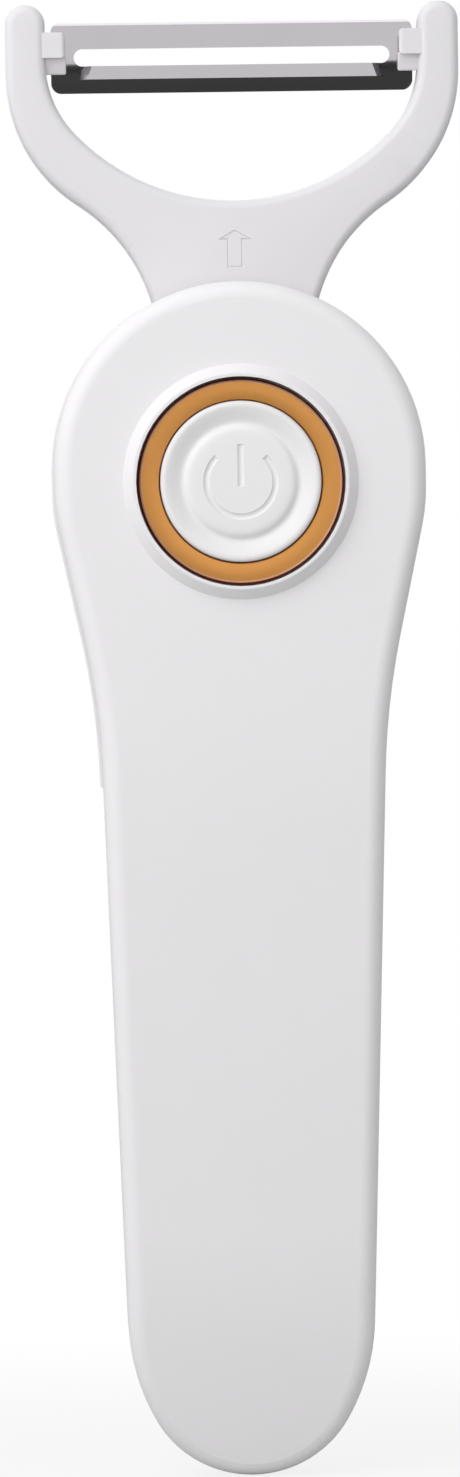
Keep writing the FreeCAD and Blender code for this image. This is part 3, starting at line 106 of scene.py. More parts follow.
def copy_of(node):
    """A separate mesh with the node's shape, its loose triangles merged."""
    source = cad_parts[node]
    piece = source.copy()
    piece.data = source.data.copy()
    piece.parent = None
    piece.matrix_world = Matrix()
    bpy.context.scene.collection.objects.link(piece)
    only(piece)
    bpy.ops.object.mode_set(mode="EDIT")
    bpy.ops.mesh.select_all(action="SELECT")
    bpy.ops.mesh.remove_doubles(threshold=1e-6)
    bpy.ops.mesh.customdata_custom_splitnormals_clear()
    bpy.ops.object.mode_set(mode="OBJECT")
    return piece


# %% [markdown]
# A finish is easier to read as a formula than as a list of node links. This class wraps
# one socket, so that noise * 0.1 + 0.4 adds the Math nodes by itself.

# %% Shader maths


class Sock:
    """One output socket with arithmetic."""

    def __init__(self, tree, socket):
        self.tree = tree
        self.socket = socket

    def _maths(self, operation, first, second):
        node = self.tree.nodes.new("ShaderNodeMath")
        node.operation = operation
        for slot, value in zip(node.inputs, (first, second)):
            if isinstance(value, Sock):
                self.tree.links.new(value.socket, slot)
            else:
                slot.default_value = value
        return Sock(self.tree, node.outputs[0])

    def __add__(self, other):
        return self._maths("ADD", self, other)

    def __mul__(self, other):
        return self._maths("MULTIPLY", self, other)


class Finish:
    """A material with a Principled shader, and a short way to add nodes."""

    def __init__(self, name, color, **fixed):
        self.material = bpy.data.materials.new(name)
        self.material.use_nodes = True
        self.tree = self.material.node_tree
        self.shader = self.tree.nodes["Principled BSDF"]
        self.shader.inputs["Base Color"].default_value = (*color, 1)
        for socket, value in fixed.items():
            self.shader.inputs[socket.replace("_", " ")].default_value = value
        self.place = self.node("TexCoord", output="Object")

    def node(self, kind, settings=(), output=0, **values):
        """Add a node; settings go on it first, then the values or links of its sockets."""
        node = self.tree.nodes.new("ShaderNode" + kind)
        for name, value in dict(settings).items():
            setattr(node, name, value)
        for name, value in values.items():
            socket = node.inputs[name.replace("_", " ")]
            if isinstance(value, Sock):
                self.tree.links.new(value.socket, socket)
            else:
                socket.default_value = value
        return Sock(self.tree, node.outputs[output])

    def noise(self, scale, detail=2.0, stretch=None):
        place = self.place
        if stretch:
            place = self.node("Mapping", Vector=place, Scale=stretch)
        return self.node("TexNoise", Vector=place, Scale=scale, Detail=detail)

    def feed(self, socket, value):
        self.tree.links.new(value.socket, self.shader.inputs[socket])

    def tint(self, factor, dark, light):
        """Mix two colours by a factor and feed the base colour."""
        mix = self.tree.nodes.new("ShaderNodeMix")
        mix.data_type = "RGBA"
        self.tree.links.new(factor.socket, mix.inputs["Factor"])
        mix.inputs["A"].default_value = (*dark, 1)
        mix.inputs["B"].default_value = (*light, 1)
        self.tree.links.new(mix.outputs["Result"], self.shader.inputs["Base Color"])

    def bump(self, height, distance, strength=1.0):
        node = self.node("Bump", Strength=strength, Distance=distance, Height=height)
        self.feed("Normal", node)


def dress(piece, finish):
    """Give a piece one finish all over."""
    piece.data.materials.clear()
    piece.data.materials.append(finish.material)
    return piece


# %% [markdown]
# The body is moulded in off-white plastic with a fine spark-eroded texture. Two noises do
# it: a grain of a fifth of a millimetre for the bump, and a slow one that shifts the
# roughness a little, as handling does.

# %% Moulded plastics


def moulded(name, color, rough, grain=5200, depth=0.000012, shift=0.02):
    """Plastic or rubber: grain is the noise scale and depth the height of its bumps."""
    finish = Finish(name, color, Specular_IOR_Level=0.4)
    slow = finish.noise(60, 3)
    fine = finish.noise(grain, 2)
    darker = tuple(c * (1 - shift) for c in color)
    finish.tint(slow, darker, color)
    finish.feed("Roughness", slow * 0.12 + (rough - 0.06))
    finish.bump(fine, depth, 0.5)
    return finish


body_white = moulded("body_white", (0.80, 0.787, 0.80), 0.46)
head_white = moulded("head_white", (0.725, 0.712, 0.735), 0.42, grain=7000, depth=0.000006)
button_white = moulded("button_white", (0.80, 0.79, 0.80), 0.5, grain=6000)
inner_plastic = moulded("inner_plastic", (0.09, 0.09, 0.10), 0.55, grain=3000)

# %% [markdown]
# Metals are told apart by how their tool marks run. The blade was polished along its
# length and the rods were drawn, so their marks are long; the others have even ones. The
# ring has two more colours: a painted highlight of brighter copper on its outer chamfer,
# and painted shade of dark reddish brown in its groove.

# %% Metals


def metal(name, color, rough, scale, stretch, depth=0.000002, spread=0.1):
    """Metal whose marks run where the stretch is small; spread is their roughness range."""
    finish = Finish(name, color, Metallic=1.0)
    marks = finish.noise(scale, 4, stretch)
    slow = finish.noise(90, 2)
    finish.tint(slow, tuple(c * 0.93 for c in color), color)
    finish.feed("Roughness", marks * spread + (rough - spread / 2))
    finish.bump(marks, depth, 0.4)
    return finish


ring_copper = metal("trim_copper", (0.84, 0.39, 0.105), 0.5, 2600, (1, 1, 1), 0.000006, 0.12)
ring_copper.shader.inputs["Metallic"].default_value = 0.75
# Painted shade: dark reddish brown for the faces of the ring's groove, where the gap to the collar
# falls into shadow.
groove_painted_shade = metal("trim_groove_painted_shade", (0.24, 0.05, 0.03), 0.6, 2600, (1, 1, 1))
# Painted highlight: brighter copper for the ring's outer chamfer, standing in for its reflection of the
# bright surroundings.
edge_painted_highlight = metal("trim_edge_painted_highlight", (0.95, 0.62, 0.42), 0.35, 2600, (1, 1, 1))
blade_steel = metal("blade_steel", (0.545, 0.522, 0.55), 0.11, 900, (0.04, 6, 6), 0.0000012, 0.06)
rod_steel = metal("rod_steel", (0.55, 0.56, 0.58), 0.25, 900, (0.05, 6, 6))
motor_steel = metal("motor_steel", (0.50, 0.51, 0.53), 0.35, 700, (1, 1, 1))
bush_bronze = metal("bush_bronze", (0.42, 0.26, 0.11), 0.4, 900, (1, 1, 1), 0.00001)
contact_nickel = metal("contact_nickel", (0.60, 0.58, 0.53), 0.28, 700, (1, 1, 1))
screw_steel = metal("screw_steel", (0.45, 0.46, 0.48), 0.3, 800, (1, 1, 1))

# %% Soft and electric pieces
seal_rubber = moulded("seal_rubber", (0.03, 0.03, 0.032), 0.7, grain=2500)
board_laminate = moulded("board_laminate", (0.02, 0.14, 0.06), 0.35, grain=3500, shift=0.25)
lead_red = moulded("lead_insulation", (0.42, 0.02, 0.02), 0.5, grain=2500)
cell_sleeve = moulded("cell_sleeve", (0.05, 0.12, 0.30), 0.3, grain=1500, shift=0.3)

FINISHES = {
    "front_cover": body_white,
    "rear_housing": body_white,
    "battery_door": body_white,
    "button_cap": button_white,
    "fork_head": head_white,
    "button_ring": ring_copper,
    "blade_plate": blade_steel,
    "blade_pins": rod_steel,
    "motor_can": motor_steel,
    "motor_terminals": contact_nickel,
    "motor_shaft": rod_steel,
    "crank_pin": rod_steel,
    "crank_roller": bush_bronze,
    "guide_rods": rod_steel,
    "carriage_bushes": bush_bronze,
    "post_seal": seal_rubber,
    "circuit_board": board_laminate,
    "contact_plates": contact_nickel,
    "contact_bridge": contact_nickel,
    "battery_cell_left": cell_sleeve,
    "battery_cell_right": cell_sleeve,
    "battery_leads": lead_red,
    "motor_leads": lead_red,
    "case_screws": screw_steel,
    "tray_screws": screw_steel,
    "motor_screws": screw_steel,
    "board_screws": screw_steel,
}
for node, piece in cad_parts.items():
    finish = FINISHES.get(node, inner_plastic)
    for slot in piece.material_slots:
        slot.material = finish.material
print("finished", len(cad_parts), "packed pieces")

# %% [markdown]
# A round piece is drawn ring by ring, as on a lathe: a circle is laid round the button's
# axis, then extruded to each point of the half section. The last ring is closed by a
# small face, so the piece stays watertight.

# %% Lathe helper
AROUND = 128
ring_low, ring_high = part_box("button_ring")
cap_low, cap_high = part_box("button_cap")
BUTTON = Vector((0, 0, (ring_low.z + ring_high.z) / 2))


def lathe(name, section, closed=False):
    """Turn (radius, depth) points round the button's axis; depth grows towards the back."""
    bpy.ops.object.select_all(action="DESELECT")
    radius, depth = section[0]
    bpy.ops.mesh.primitive_circle_add(
        vertices=AROUND, radius=radius, location=(0, depth, BUTTON.z),
        rotation=(math.radians(90), 0, 0),
    )
    piece = bpy.context.object
    piece.name = name
    bpy.ops.object.mode_set(mode="EDIT")
    bpy.ops.mesh.select_all(action="SELECT")
    points = list(section[1:]) + ([section[0]] if closed else [])
    for next_radius, next_depth in points:
        bpy.ops.mesh.extrude_region_move(
            TRANSFORM_OT_translate={"value": (0, next_depth - depth, 0)}
        )
        bpy.ops.transform.resize(
            value=(next_radius / radius, 1, next_radius / radius),
            center_override=(0, next_depth, BUTTON.z),
        )
        radius, depth = next_radius, next_depth
    if closed:
        bpy.ops.mesh.select_all(action="SELECT")
        bpy.ops.mesh.remove_doubles(threshold=1e-7)
    else:
        bpy.ops.mesh.fill()
        bpy.ops.mesh.select_all(action="DESELECT")
        bpy.ops.object.mode_set(mode="OBJECT")
        for vertex in piece.data.vertices:
            vertex.select = vertex.index < AROUND
        bpy.ops.object.mode_set(mode="EDIT")
        bpy.ops.mesh.select_mode(type="VERT")
        bpy.ops.mesh.fill()
        bpy.ops.mesh.select_all(action="SELECT")
    bpy.ops.mesh.normals_make_consistent(inside=False)
    bpy.ops.object.mode_set(mode="OBJECT")
    settle(piece)
    print(name, "has", len(piece.data.polygons), "faces")
    return piece


# %% [markdown]
# The trim ring is turned metal with a nearly flat face, a chamfer outside and a small
# break inside. A step round its edge leaves a narrow groove to the collar. The groove
# faces are painted dark reddish brown as painted shade, so the groove reads as a dark
# line, and the outer chamfer is painted brighter copper as a painted highlight.

# %% Trim ring
ring_front = ring_low.y
ring_back = ring_high.y
ring_outer = (ring_high.x - ring_low.x) / 2
RING_WIDE = 3.0 * MM
STEP_WIDE = 0.28 * MM
ring_edge = ring_outer - STEP_WIDE
ring_inner = ring_outer - RING_WIDE
ring = lathe("trim_ring_turned", [
    (ring_outer, ring_back),
    (ring_outer, ring_front + 1.00 * MM),
    (ring_outer - 0.05 * MM, ring_front + 0.95 * MM),
    (ring_edge, ring_front + 0.90 * MM),
    (ring_edge, ring_front + 0.24 * MM),
    (ring_edge - 0.05 * MM, ring_front + 0.16 * MM),
    (ring_edge - 0.18 * MM, ring_front + 0.03 * MM),
    (ring_edge - 0.26 * MM, ring_front),
    (ring_inner + 0.30 * MM, ring_front + 0.05 * MM),
    (ring_inner + 0.08 * MM, ring_front + 0.12 * MM),
    (ring_inner, ring_front + 0.25 * MM),
    (ring_inner, ring_back),
], closed=True)
GROOVE_SHADE_SLOT, EDGE_HIGHLIGHT_SLOT = 1, 2
dress(ring, ring_copper)
ring.data.materials.append(groove_painted_shade.material)
ring.data.materials.append(edge_painted_highlight.material)
# Painted shade goes on the groove faces (dark brown) and a painted highlight on the outer chamfer faces
# (brighter copper).
for face in ring.data.polygons:
    radius = math.hypot(face.center.x, face.center.z - BUTTON.z)
    depth = face.center.y - ring_front
    if radius > ring_edge - 0.02 * MM:
        face.material_index = GROOVE_SHADE_SLOT
    elif radius > ring_edge - 0.24 * MM and depth < 0.2 * MM:
        face.material_index = EDGE_HIGHLIGHT_SLOT
smooth(ring, 30)
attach(ring, "handle")
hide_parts("button_ring")

# %% [markdown]
# The cap has a soft rim, a slope down to a valley and a raised middle with soft edges.
# Its power sign is a round-bottomed groove, so the cutter is a bent round bar: a curve
# with a round bevel, made a mesh and taken away with a Boolean.

# %% Cutter for grooves


def groove_cutter(name, runs, radius, closed=False):
    """Round bars along runs of points, as one mesh to cut with."""
    curve = bpy.data.curves.new(name, "CURVE")
    curve.dimensions = "3D"
    curve.bevel_depth = radius
    curve.bevel_resolution = 3
    curve.use_fill_caps = not closed
    for points in runs:
        spline = curve.splines.new("POLY")
        spline.points.add(len(points) - 1)
        for point, place in zip(spline.points, points):
            point.co = (*place, 1)
        spline.use_cyclic_u = closed
    bar = bpy.data.objects.new(name, curve)
    bpy.context.scene.collection.objects.link(bar)
    only(bar)
    bpy.ops.object.convert(target="MESH")
    return bpy.context.object


def engrave(piece, cutter):
    apply_modifier(piece, "BOOLEAN", operation="DIFFERENCE", solver="EXACT", object=cutter)
    bpy.data.objects.remove(cutter)
    return piece


# %% Button cap
rim = cap_low.y
cap_radius = 11.3 * MM
STEM_RADIUS = 2.4 * MM
FACE_DEEP = 0.36 * MM
flange_y = cap_high.y - 3.2 * MM
cap_section = [
    (STEM_RADIUS, cap_high.y),
    (STEM_RADIUS, rim + 3.4 * MM),
    (cap_radius - 1.4 * MM, rim + 3.4 * MM),
    (cap_radius - 1.4 * MM, flange_y + 1.0 * MM),
    (cap_high.x, flange_y + 1.0 * MM),
    (cap_high.x, flange_y),
    (cap_radius, flange_y),
    (cap_radius, rim + 0.55 * MM),
    (cap_radius - 0.06 * MM, rim + 0.30 * MM),
    (cap_radius - 0.20 * MM, rim + 0.11 * MM),
    (cap_radius - 0.42 * MM, rim + 0.01 * MM),
    (cap_radius - 0.70 * MM, rim),
    (cap_radius - 1.00 * MM, rim + 0.08 * MM),
    (cap_radius - 1.90 * MM, rim + 0.52 * MM),
    (cap_radius - 2.60 * MM, rim + 0.86 * MM),
    (8.30 * MM, rim + 1.02 * MM),
    (8.05 * MM, rim + 0.98 * MM),
    (7.85 * MM, rim + 0.80 * MM),
    (7.60 * MM, rim + 0.56 * MM),
    (7.30 * MM, rim + 0.44 * MM),
    (6.90 * MM, rim + 0.38 * MM),
    (6.00 * MM, rim + FACE_DEEP),
    (3.20 * MM, rim + FACE_DEEP),
    (0.60 * MM, rim + FACE_DEEP),
]
cap = lathe("button_cap_dished", cap_section)
SIGN_RADIUS = 4.85 * MM
SIGN_GAP = 44
SIGN_STEPS = 64
SIGN_STROKE = 0.55 * MM
SIGN_LIFT = 0.27 * MM
sign_y = rim + FACE_DEEP - SIGN_LIFT
sign_z = BUTTON.z - 0.1 * MM
sign_turn = 360 - 2 * SIGN_GAP
arc = [
    (SIGN_RADIUS * math.sin(a), sign_y, sign_z + SIGN_RADIUS * math.cos(a))
    for a in (math.radians(SIGN_GAP + sign_turn * i / SIGN_STEPS) for i in range(SIGN_STEPS + 1))
]
bar = [(0, sign_y, sign_z - 0.6 * MM), (0, sign_y, sign_z + 5.3 * MM)]
engrave(cap, groove_cutter("power_sign", [arc, bar], SIGN_STROKE))
smooth(dress(cap, button_white), 40)
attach(cap, "button")
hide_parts("button_cap")

# %% [markdown]
# The blade is a strip bowed round a long axis. A flat bar is spun round that axis to make
# the sheet, a rounded prism trims its corners, and a second one cuts the slot. The lip
# under the slot is a raised bar with slanted ends; its top edge is the cutting edge.

# %% Rounded prism and Boolean


def select_where(piece, test):
    """Select the vertices whose place passes a test, and go to edit mode."""
    only(piece)
    bpy.ops.object.mode_set(mode="EDIT")
    bpy.ops.mesh.select_mode(type="VERT")
    bpy.ops.mesh.select_all(action="DESELECT")
    bpy.ops.object.mode_set(mode="OBJECT")
    for vertex in piece.data.vertices:
        vertex.select = test(vertex.co)
    bpy.ops.object.mode_set(mode="EDIT")


def rounded_prism(name, half_x, half_z, radius, deep):
    """A rounded rectangle that runs along Y, drawn from a cylinder pulled apart."""
    bpy.ops.object.select_all(action="DESELECT")
    bpy.ops.mesh.primitive_cylinder_add(
        vertices=48, radius=radius, depth=deep, rotation=(math.radians(90), 0, 0)
    )
    piece = settle(bpy.context.object)
    piece.name = name
    for axis, half in ((0, half_x), (2, half_z)):
        for sign in (-1, 1):
            shift = [0, 0, 0]
            shift[axis] = sign * (half - radius)
            select_where(piece, lambda place: place[axis] * sign > 1e-6)
            bpy.ops.transform.translate(value=shift)
            bpy.ops.object.mode_set(mode="OBJECT")
    return piece


def move_to(piece, place):
    """Shift a piece that was made round the origin."""
    piece.location = place
    return settle(piece)


def heal(piece):
    """Merge what a Boolean left closer than three microns."""
    only(piece)
    bpy.ops.object.mode_set(mode="EDIT")
    bpy.ops.mesh.select_mode(type="VERT")
    bpy.ops.mesh.select_all(action="SELECT")
    bpy.ops.mesh.remove_doubles(threshold=3e-6)
    bpy.ops.mesh.normals_make_consistent(inside=False)
    bpy.ops.object.mode_set(mode="OBJECT")
    return piece


def combine(piece, other, operation):
    """Boolean with a helper shape, which is deleted afterwards."""
    apply_modifier(piece, "BOOLEAN", operation=operation, solver="EXACT", object=other)
    bpy.data.objects.remove(other)
    return heal(piece)


# %% Blade sheet
PIVOT_Z = 140.4 * MM
BOW = 14 * MM
BLADE_FRONT = 3.8 * MM
BLADE_HALF = 25.75 * MM
BLADE_HIGH = 10.2 * MM
SHEET = 0.6 * MM
bow_y = BLADE_FRONT + BOW
half_turn = math.degrees(math.asin(BLADE_HIGH / 2 / BOW))
EDGE_TURN = 2.2
EDGE_THIN = 0.35
SPIN_STEPS = 40
CUT_DEEP = 8 * MM
CORNER = 1.5 * MM
cut_y = BLADE_FRONT + 1 * MM

bpy.ops.object.select_all(action="DESELECT")
bpy.ops.mesh.primitive_plane_add(size=1, location=(0, bow_y - BOW + SHEET / 2, PIVOT_Z))
blade = bpy.context.object
blade.name = "blade_polished"
blade.scale = (2 * BLADE_HALF, SHEET, 1)
settle(blade)
bpy.ops.object.mode_set(mode="EDIT")
bpy.ops.mesh.select_all(action="SELECT")
bpy.ops.transform.rotate(
    value=-math.radians(half_turn), orient_axis="X", center_override=(0, bow_y, PIVOT_Z)
)
bpy.ops.mesh.spin(
    steps=SPIN_STEPS, angle=math.radians(2 * half_turn - EDGE_TURN),
    center=(0, bow_y, PIVOT_Z), axis=(1, 0, 0),
)
bpy.ops.mesh.extrude_region_move()
bpy.ops.transform.rotate(
    value=math.radians(EDGE_TURN), orient_axis="X", center_override=(0, bow_y, PIVOT_Z)
)
inside = BOW - SHEET
back_y = bow_y - inside * math.cos(math.radians(half_turn))
back_z = PIVOT_Z + inside * math.sin(math.radians(half_turn))
bpy.ops.transform.resize(value=(1, EDGE_THIN, EDGE_THIN), center_override=(0, back_y, back_z))
bpy.ops.mesh.select_all(action="SELECT")
bpy.ops.mesh.normals_make_consistent(inside=False)
bpy.ops.object.mode_set(mode="OBJECT")
outline = rounded_prism("blade_outline", BLADE_HALF, BLADE_HIGH / 2, CORNER, CUT_DEEP)
combine(blade, move_to(outline, (0, cut_y, PIVOT_Z)), "INTERSECT")
print("blade sheet has", len(blade.data.polygons), "faces")

# %% Lip, slot and ears
SLOT_HALF = 22.5 * MM
SLOT_HIGH = 2.5 * MM
LIP_HALF = 21.9 * MM
LIP_HIGH = 2.1 * MM
LIP_RISE = 0.45 * MM
LIP_ROOT = 0.6 * MM
EAR_HALF = 2.5 * MM
EAR_FRONT = 0.3 * MM
EAR_DEEP = 3.5 * MM
slot_z = PIVOT_Z - 0.05 * MM
lip_top = slot_z - SLOT_HIGH / 2 + 0.2 * MM


def bar_between(name, low, high):
    """A box from its lowest to its highest corner."""
    bpy.ops.object.select_all(action="DESELECT")
    middle = [(a + b) / 2 for a, b in zip(low, high)]
    bpy.ops.mesh.primitive_cube_add(size=1, location=middle)
    piece = bpy.context.object
    piece.name = name
    piece.scale = [b - a for a, b in zip(low, high)]
    return settle(piece)


lip_low = (-LIP_HALF, BLADE_FRONT - LIP_RISE, lip_top - LIP_HIGH)
lip = bar_between("blade_lip", lip_low, (LIP_HALF, BLADE_FRONT + LIP_ROOT, lip_top))
middle_z = lip_top - 1 * MM
for is_top, face_half, forward in ((True, 19.9 * MM, 0), (False, 20.6 * MM, 0.3 * MM)):
    select_where(lip, lambda place: place.y < BLADE_FRONT and (place.z > middle_z) == is_top)
    bpy.ops.transform.resize(value=(face_half / LIP_HALF, 1, 1), center_override=(0, 0, 0))
    bpy.ops.transform.translate(value=(0, -forward, 0))
    bpy.ops.object.mode_set(mode="OBJECT")
combine(blade, lip, "UNION")
slot = rounded_prism("blade_slot", SLOT_HALF, SLOT_HIGH / 2, SLOT_HIGH / 2, CUT_DEEP)
combine(blade, move_to(slot, (0, cut_y, slot_z)), "DIFFERENCE")
for side in (-1, 1):
    ends = sorted((side * BLADE_HALF, side * (BLADE_HALF - SHEET)))
    ear = bar_between(
        "blade_ear", (ends[0], BLADE_FRONT + EAR_FRONT, PIVOT_Z - EAR_HALF),
        (ends[1], BLADE_FRONT + EAR_DEEP, PIVOT_Z + EAR_HALF),
    )
    combine(blade, ear, "UNION")
smooth(dress(blade, blade_steel), 25)
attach(blade, "blade")
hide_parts("blade_plate")
print("blade has", len(blade.data.polygons), "faces")

# %% [markdown]
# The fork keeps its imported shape. Two things are added: the outline arrow that shows
# which way it comes off, as a shallow groove round seven corners, and a small foot under
# each tab.

# %% Fork with its arrow
fork = copy_of("fork_head")
fork.name = "fork_engraved"
fork_low, fork_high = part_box("fork_head")
ARROW_TIP_Z = 115.3 * MM
ARROW_HEAD = 2.2 * MM
ARROW_NECK = 1.0 * MM
ARROW_HEAD_LONG = 1.15 * MM
ARROW_LONG = 5.1 * MM
ARROW_GROOVE = 0.2 * MM
arrow_y = fork_low.y - 0.06 * MM
arrow_half = [
    (0, 0),
    (ARROW_HEAD, -ARROW_HEAD_LONG),
    (ARROW_NECK, -ARROW_HEAD_LONG),
    (ARROW_NECK, -ARROW_LONG),
]
arrow = [(x, arrow_y, ARROW_TIP_Z + z) for x, z in arrow_half]
arrow += [(-x, arrow_y, ARROW_TIP_Z + z) for x, z in reversed(arrow_half[1:])]
engrave(fork, groove_cutter("arrow", [arrow], ARROW_GROOVE, closed=True))
FOOT_HALF = 23.6 * MM
FOOT_HIGH = 2.3 * MM
FOOT_DEEP = 1.2 * MM
FOOT_INTO_TAB = 0.3 * MM
FOOT_SLANT = 0.7 * MM
FOOT_EDGE = 0.4 * MM
TAB_LOW_Z = 140.2 * MM
ARM_X = 27.4 * MM
foot_y = fork_low.y + 1.1 * MM
for side in (-1, 1):
    ends = sorted((side * FOOT_HALF, side * ARM_X))
    foot = bar_between(
        "tab_foot", (ends[0], foot_y, TAB_LOW_Z - FOOT_HIGH),
        (ends[1], foot_y + FOOT_DEEP, TAB_LOW_Z + FOOT_INTO_TAB),
    )
    select_where(
        foot, lambda place: place.z < TAB_LOW_Z - FOOT_HIGH / 2 and place.y < foot_y + FOOT_DEEP / 2
    )
    bpy.ops.transform.translate(value=(0, FOOT_SLANT, 0))
    bpy.ops.object.mode_set(mode="OBJECT")
    apply_modifier(foot, "BEVEL", width=FOOT_EDGE, segments=4)
    combine(fork, foot, "UNION")
smooth(dress(fork, head_white), 30)
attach(fork, "fork")
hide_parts("fork_head")
print("fork has", len(fork.data.polygons), "faces")

# %% [markdown]
# The battery door slides down off the back. Five pressed ridges give the thumb a hold,
# and an arrow under them shows the way.

# %% Battery door with its thumb ridges
door = copy_of("battery_door")
door.name = "door_ridged"
door_low, door_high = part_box("battery_door")
RIDGE_TOP = door_high.z - 12 * MM
RIDGE_STEP = 2.4 * MM
RIDGE_HALF = 8 * MM
RIDGE_SHORTER = 0.8 * MM
RIDGE_RADIUS = 0.55 * MM
MARK_HALF = 2.5 * MM
MARK_LONG = 3.4 * MM
MARK_RADIUS = 0.3 * MM
ridge_y = door_high.y + 0.15 * MM
ridges = [
    [(side * (RIDGE_HALF - i * RIDGE_SHORTER), ridge_y, RIDGE_TOP - i * RIDGE_STEP) for side in (-1, 1)]
    for i in range(5)
]
mark_z = RIDGE_TOP - 7 * RIDGE_STEP
mark = [
    (-MARK_HALF, ridge_y, mark_z), (MARK_HALF, ridge_y, mark_z), (0, ridge_y, mark_z - MARK_LONG),
]
engrave(door, groove_cutter("ridges", ridges, RIDGE_RADIUS))
engrave(door, groove_cutter("open_mark", [mark], MARK_RADIUS, closed=True))
smooth(dress(door, body_white), 30)
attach(door, "door")
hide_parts("battery_door")
print("door has", len(door.data.polygons), "faces")

# %% [markdown]
# Each screw head gets a cross recess: two thin bars are made at its face and taken away.
# The case screws face the back, so the bars lie in the plane of the back.

# %% Case screws with cross recesses
screws = copy_of("case_screws")
screws.name = "case_screws_crossed"
screw_low, screw_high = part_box("case_screws")
HEAD_RADIUS = 2.3 * MM
LOWER_X = 16 * MM
CROSS_LONG, CROSS_WIDE, CROSS_DEEP = 2.6 * MM, 0.5 * MM, 1.6 * MM
upper = (screw_high.x - HEAD_RADIUS, screw_high.z - HEAD_RADIUS)
lower = (LOWER_X, screw_low.z + HEAD_RADIUS)
for side in (-1, 1):
    for x, z in (upper, lower):
        for wide, high in ((CROSS_LONG, CROSS_WIDE), (CROSS_WIDE, CROSS_LONG)):
            bpy.ops.object.select_all(action="DESELECT")
            bpy.ops.mesh.primitive_cube_add(size=1, location=(side * x, screw_high.y, z))
            bar = bpy.context.object
            bar.scale = (wide, CROSS_DEEP, high)
            engrave(screws, settle(bar))
smooth(dress(screws, screw_steel), 30)
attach(screws, "handle")
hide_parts("case_screws")
print("screws have", len(screws.data.polygons), "faces")

# %% [markdown]
# The photograph looks almost straight at the button from about a metre away: a little
# from the left and a little from above, with the peeler tipped by less than a degree.
# Frame height and distance give the lens.

# %% Camera
FRAME_HIGH = 1477
MM_PER_PIXEL = 0.14206
DISTANCE = 1000 * MM
YAW = math.radians(-1.38)
PITCH = math.radians(0.79)
ROLL = math.radians(0.83)
AIM = Vector((-1.73 * MM, 0, 43.2 * MM))

camera_data = bpy.data.cameras.new("camera")
camera_data.lens = camera_data.sensor_width * DISTANCE / (FRAME_HIGH * MM_PER_PIXEL * MM)
camera_data.clip_start = 0.01
camera = bpy.data.objects.new("camera", camera_data)
bpy.context.scene.collection.objects.link(camera)
back = Vector((math.sin(YAW) * math.cos(PITCH), -math.cos(YAW) * math.cos(PITCH), math.sin(PITCH)))
turn = (-back).to_track_quat("-Z", "Y").to_matrix().to_4x4()
place = Matrix.Translation(AIM + back * DISTANCE)
camera.matrix_world = place @ turn @ Matrix.Rotation(-ROLL, 4, "Z")
bpy.context.scene.camera = camera

# %% [markdown]
# Soft studio light: a large lamp high on the left in front, a weaker one on the right,
# and a pale world. The floor is pale and looks white to the camera, but still takes the
# peeler's shadow.

# %% Lights and floor


def soft_lamp(name, place, aim, size, watts):
    """A square lamp at a place, turned to a point."""
    data = bpy.data.lights.new(name, "AREA")
    data.shape = "SQUARE"
    data.size = size
    data.energy = watts
    lamp = bpy.data.objects.new(name, data)
    bpy.context.scene.collection.objects.link(lamp)
    lamp.location = place
    lamp.rotation_euler = (Vector(aim) - Vector(place)).to_track_quat("-Z", "Y").to_euler()
    return lamp


key = soft_lamp("key", (-0.4, -0.5, 0.5), (0, 0, 0.1), 0.8, 5.1)
key.visible_glossy = False
soft_lamp("fill", (0.6, -0.9, 0.4), (0, 0, 0.08), 0.6, 0.3)

world = bpy.data.worlds.new("studio")
bpy.context.scene.world = world
world.use_nodes = True
tree = world.node_tree
tree.nodes.clear()
ray = tree.nodes.new("ShaderNodeLightPath")
seen = tree.nodes.new("ShaderNodeMath")
seen.operation = "MAXIMUM"
tree.links.new(ray.outputs["Is Camera Ray"], seen.inputs[0])
tree.links.new(ray.outputs["Is Glossy Ray"], seen.inputs[1])
either = tree.nodes.new("ShaderNodeMath")
either.operation = "MAXIMUM"
tree.links.new(seen.outputs[0], either.inputs[0])
tree.links.new(ray.outputs["Is Transmission Ray"], either.inputs[1])
AMBIENT, WHITE = 0.55, 1.0
choose = tree.nodes.new("ShaderNodeMixShader")
for socket, strength in ((1, AMBIENT), (2, WHITE)):
    background = tree.nodes.new("ShaderNodeBackground")
    background.inputs["Color"].default_value = (1, 1, 1, 1)
    background.inputs["Strength"].default_value = strength
    tree.links.new(background.outputs[0], choose.inputs[socket])
output = tree.nodes.new("ShaderNodeOutputWorld")
tree.links.new(either.outputs[0], choose.inputs["Fac"])
tree.links.new(choose.outputs[0], output.inputs["Surface"])

# %% [markdown]
# The floor near the peeler is plain pale paper that takes a soft shadow. Further out it
# fades to pure white for the camera, so no horizon shows.

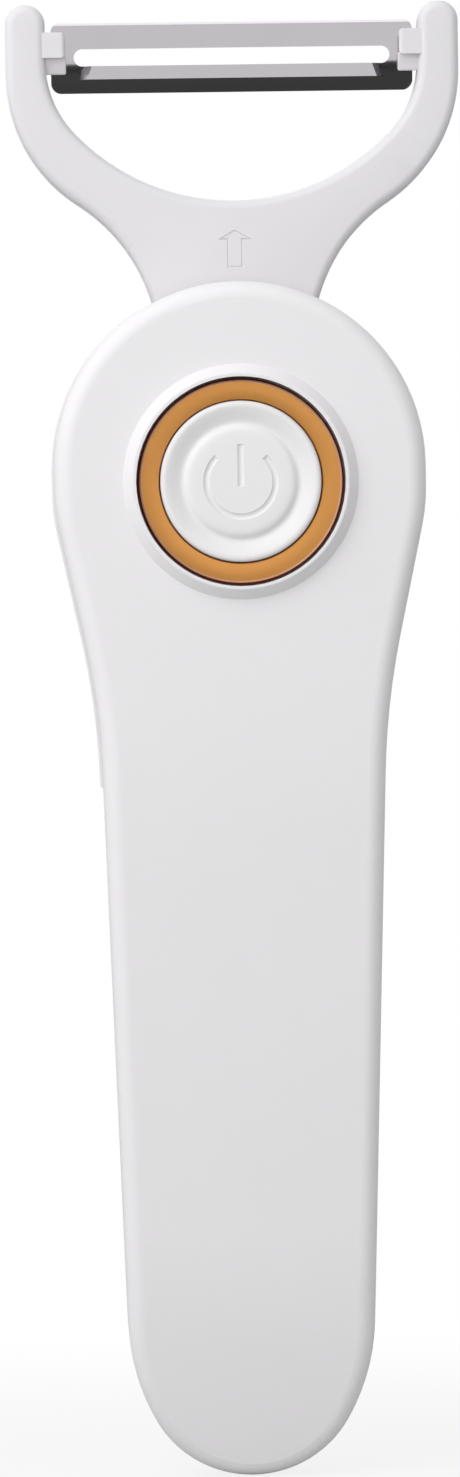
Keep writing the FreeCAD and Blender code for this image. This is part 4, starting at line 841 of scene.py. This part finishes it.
# %% Floor
FLOOR_Z = cad_low.z - 0.2 * MM
FADE_NEAR, FADE_FAR = 0.04, 0.22
GLOW_NEAR = 0.85
bpy.ops.object.select_all(action="DESELECT")
bpy.ops.mesh.primitive_plane_add(size=4, location=(0, 0, FLOOR_Z))
floor = bpy.context.object
floor.name = "floor"
paper = Finish("floor_paper", (0.6, 0.6, 0.6), Roughness=0.9, Specular_IOR_Level=0.1)
glow = paper.tree.nodes.new("ShaderNodeEmission")
glow.inputs["Color"].default_value = (1, 1, 1, 1)
far = paper.node("VectorMath", {"operation": "LENGTH"}, output=1, Vector=paper.place)
fade = paper.node("MapRange", {"interpolation_type": "SMOOTHSTEP"}, Value=far)
fade_node = fade.socket.node
fade_node.inputs["From Min"].default_value = FADE_NEAR
fade_node.inputs["From Max"].default_value = FADE_FAR
fade_node.inputs["To Min"].default_value = GLOW_NEAR
fade_node.inputs["To Max"].default_value = 1.0
camera_ray = paper.node("LightPath", output=0)
mix = paper.tree.nodes.new("ShaderNodeMixShader")
paper.tree.links.new((fade * camera_ray).socket, mix.inputs["Fac"])
paper.tree.links.new(paper.shader.outputs[0], mix.inputs[1])
paper.tree.links.new(glow.outputs[0], mix.inputs[2])
paper.tree.links.new(mix.outputs[0], paper.tree.nodes["Material Output"].inputs["Surface"])
dress(floor, paper)

# %% [markdown]
# A polished blade shows what lies around it. A black card on the floor gives its lower
# half the dark band, and a bright strip above and behind lights its top edge. Only
# reflections can see the two.

# %% Cards for the reflections
CARD_NEAR, CARD_FAR = -0.03, -3.0


def only_reflected(piece):
    """Hide a card from everything but reflections."""
    piece.visible_camera = False
    piece.visible_diffuse = False
    piece.visible_shadow = False


bpy.ops.object.select_all(action="DESELECT")
card_place = (0, (CARD_NEAR + CARD_FAR) / 2, FLOOR_Z + 1 * MM)
bpy.ops.mesh.primitive_plane_add(size=1, location=card_place)
card = bpy.context.object
card.name = "black_card"
card.scale = (2.0, CARD_NEAR - CARD_FAR, 1)
settle(card)
only_reflected(card)
dress(card, Finish("card_black", (0.07, 0.07, 0.066), Roughness=1.0, Specular_IOR_Level=0.0))

bpy.ops.object.select_all(action="DESELECT")
bpy.ops.mesh.primitive_plane_add(
    size=1, location=(0, 0.75, 0.9), rotation=(math.radians(-45), 0, 0)
)
strip = settle(bpy.context.object)
strip.name = "bright_strip"
only_reflected(strip)
strip_glow = Finish("strip_white", (1, 1, 1), Emission_Color=(1, 1, 1, 1), Emission_Strength=1.0)
dress(strip, strip_glow)

bpy.context.scene.view_settings.view_transform = "Standard"
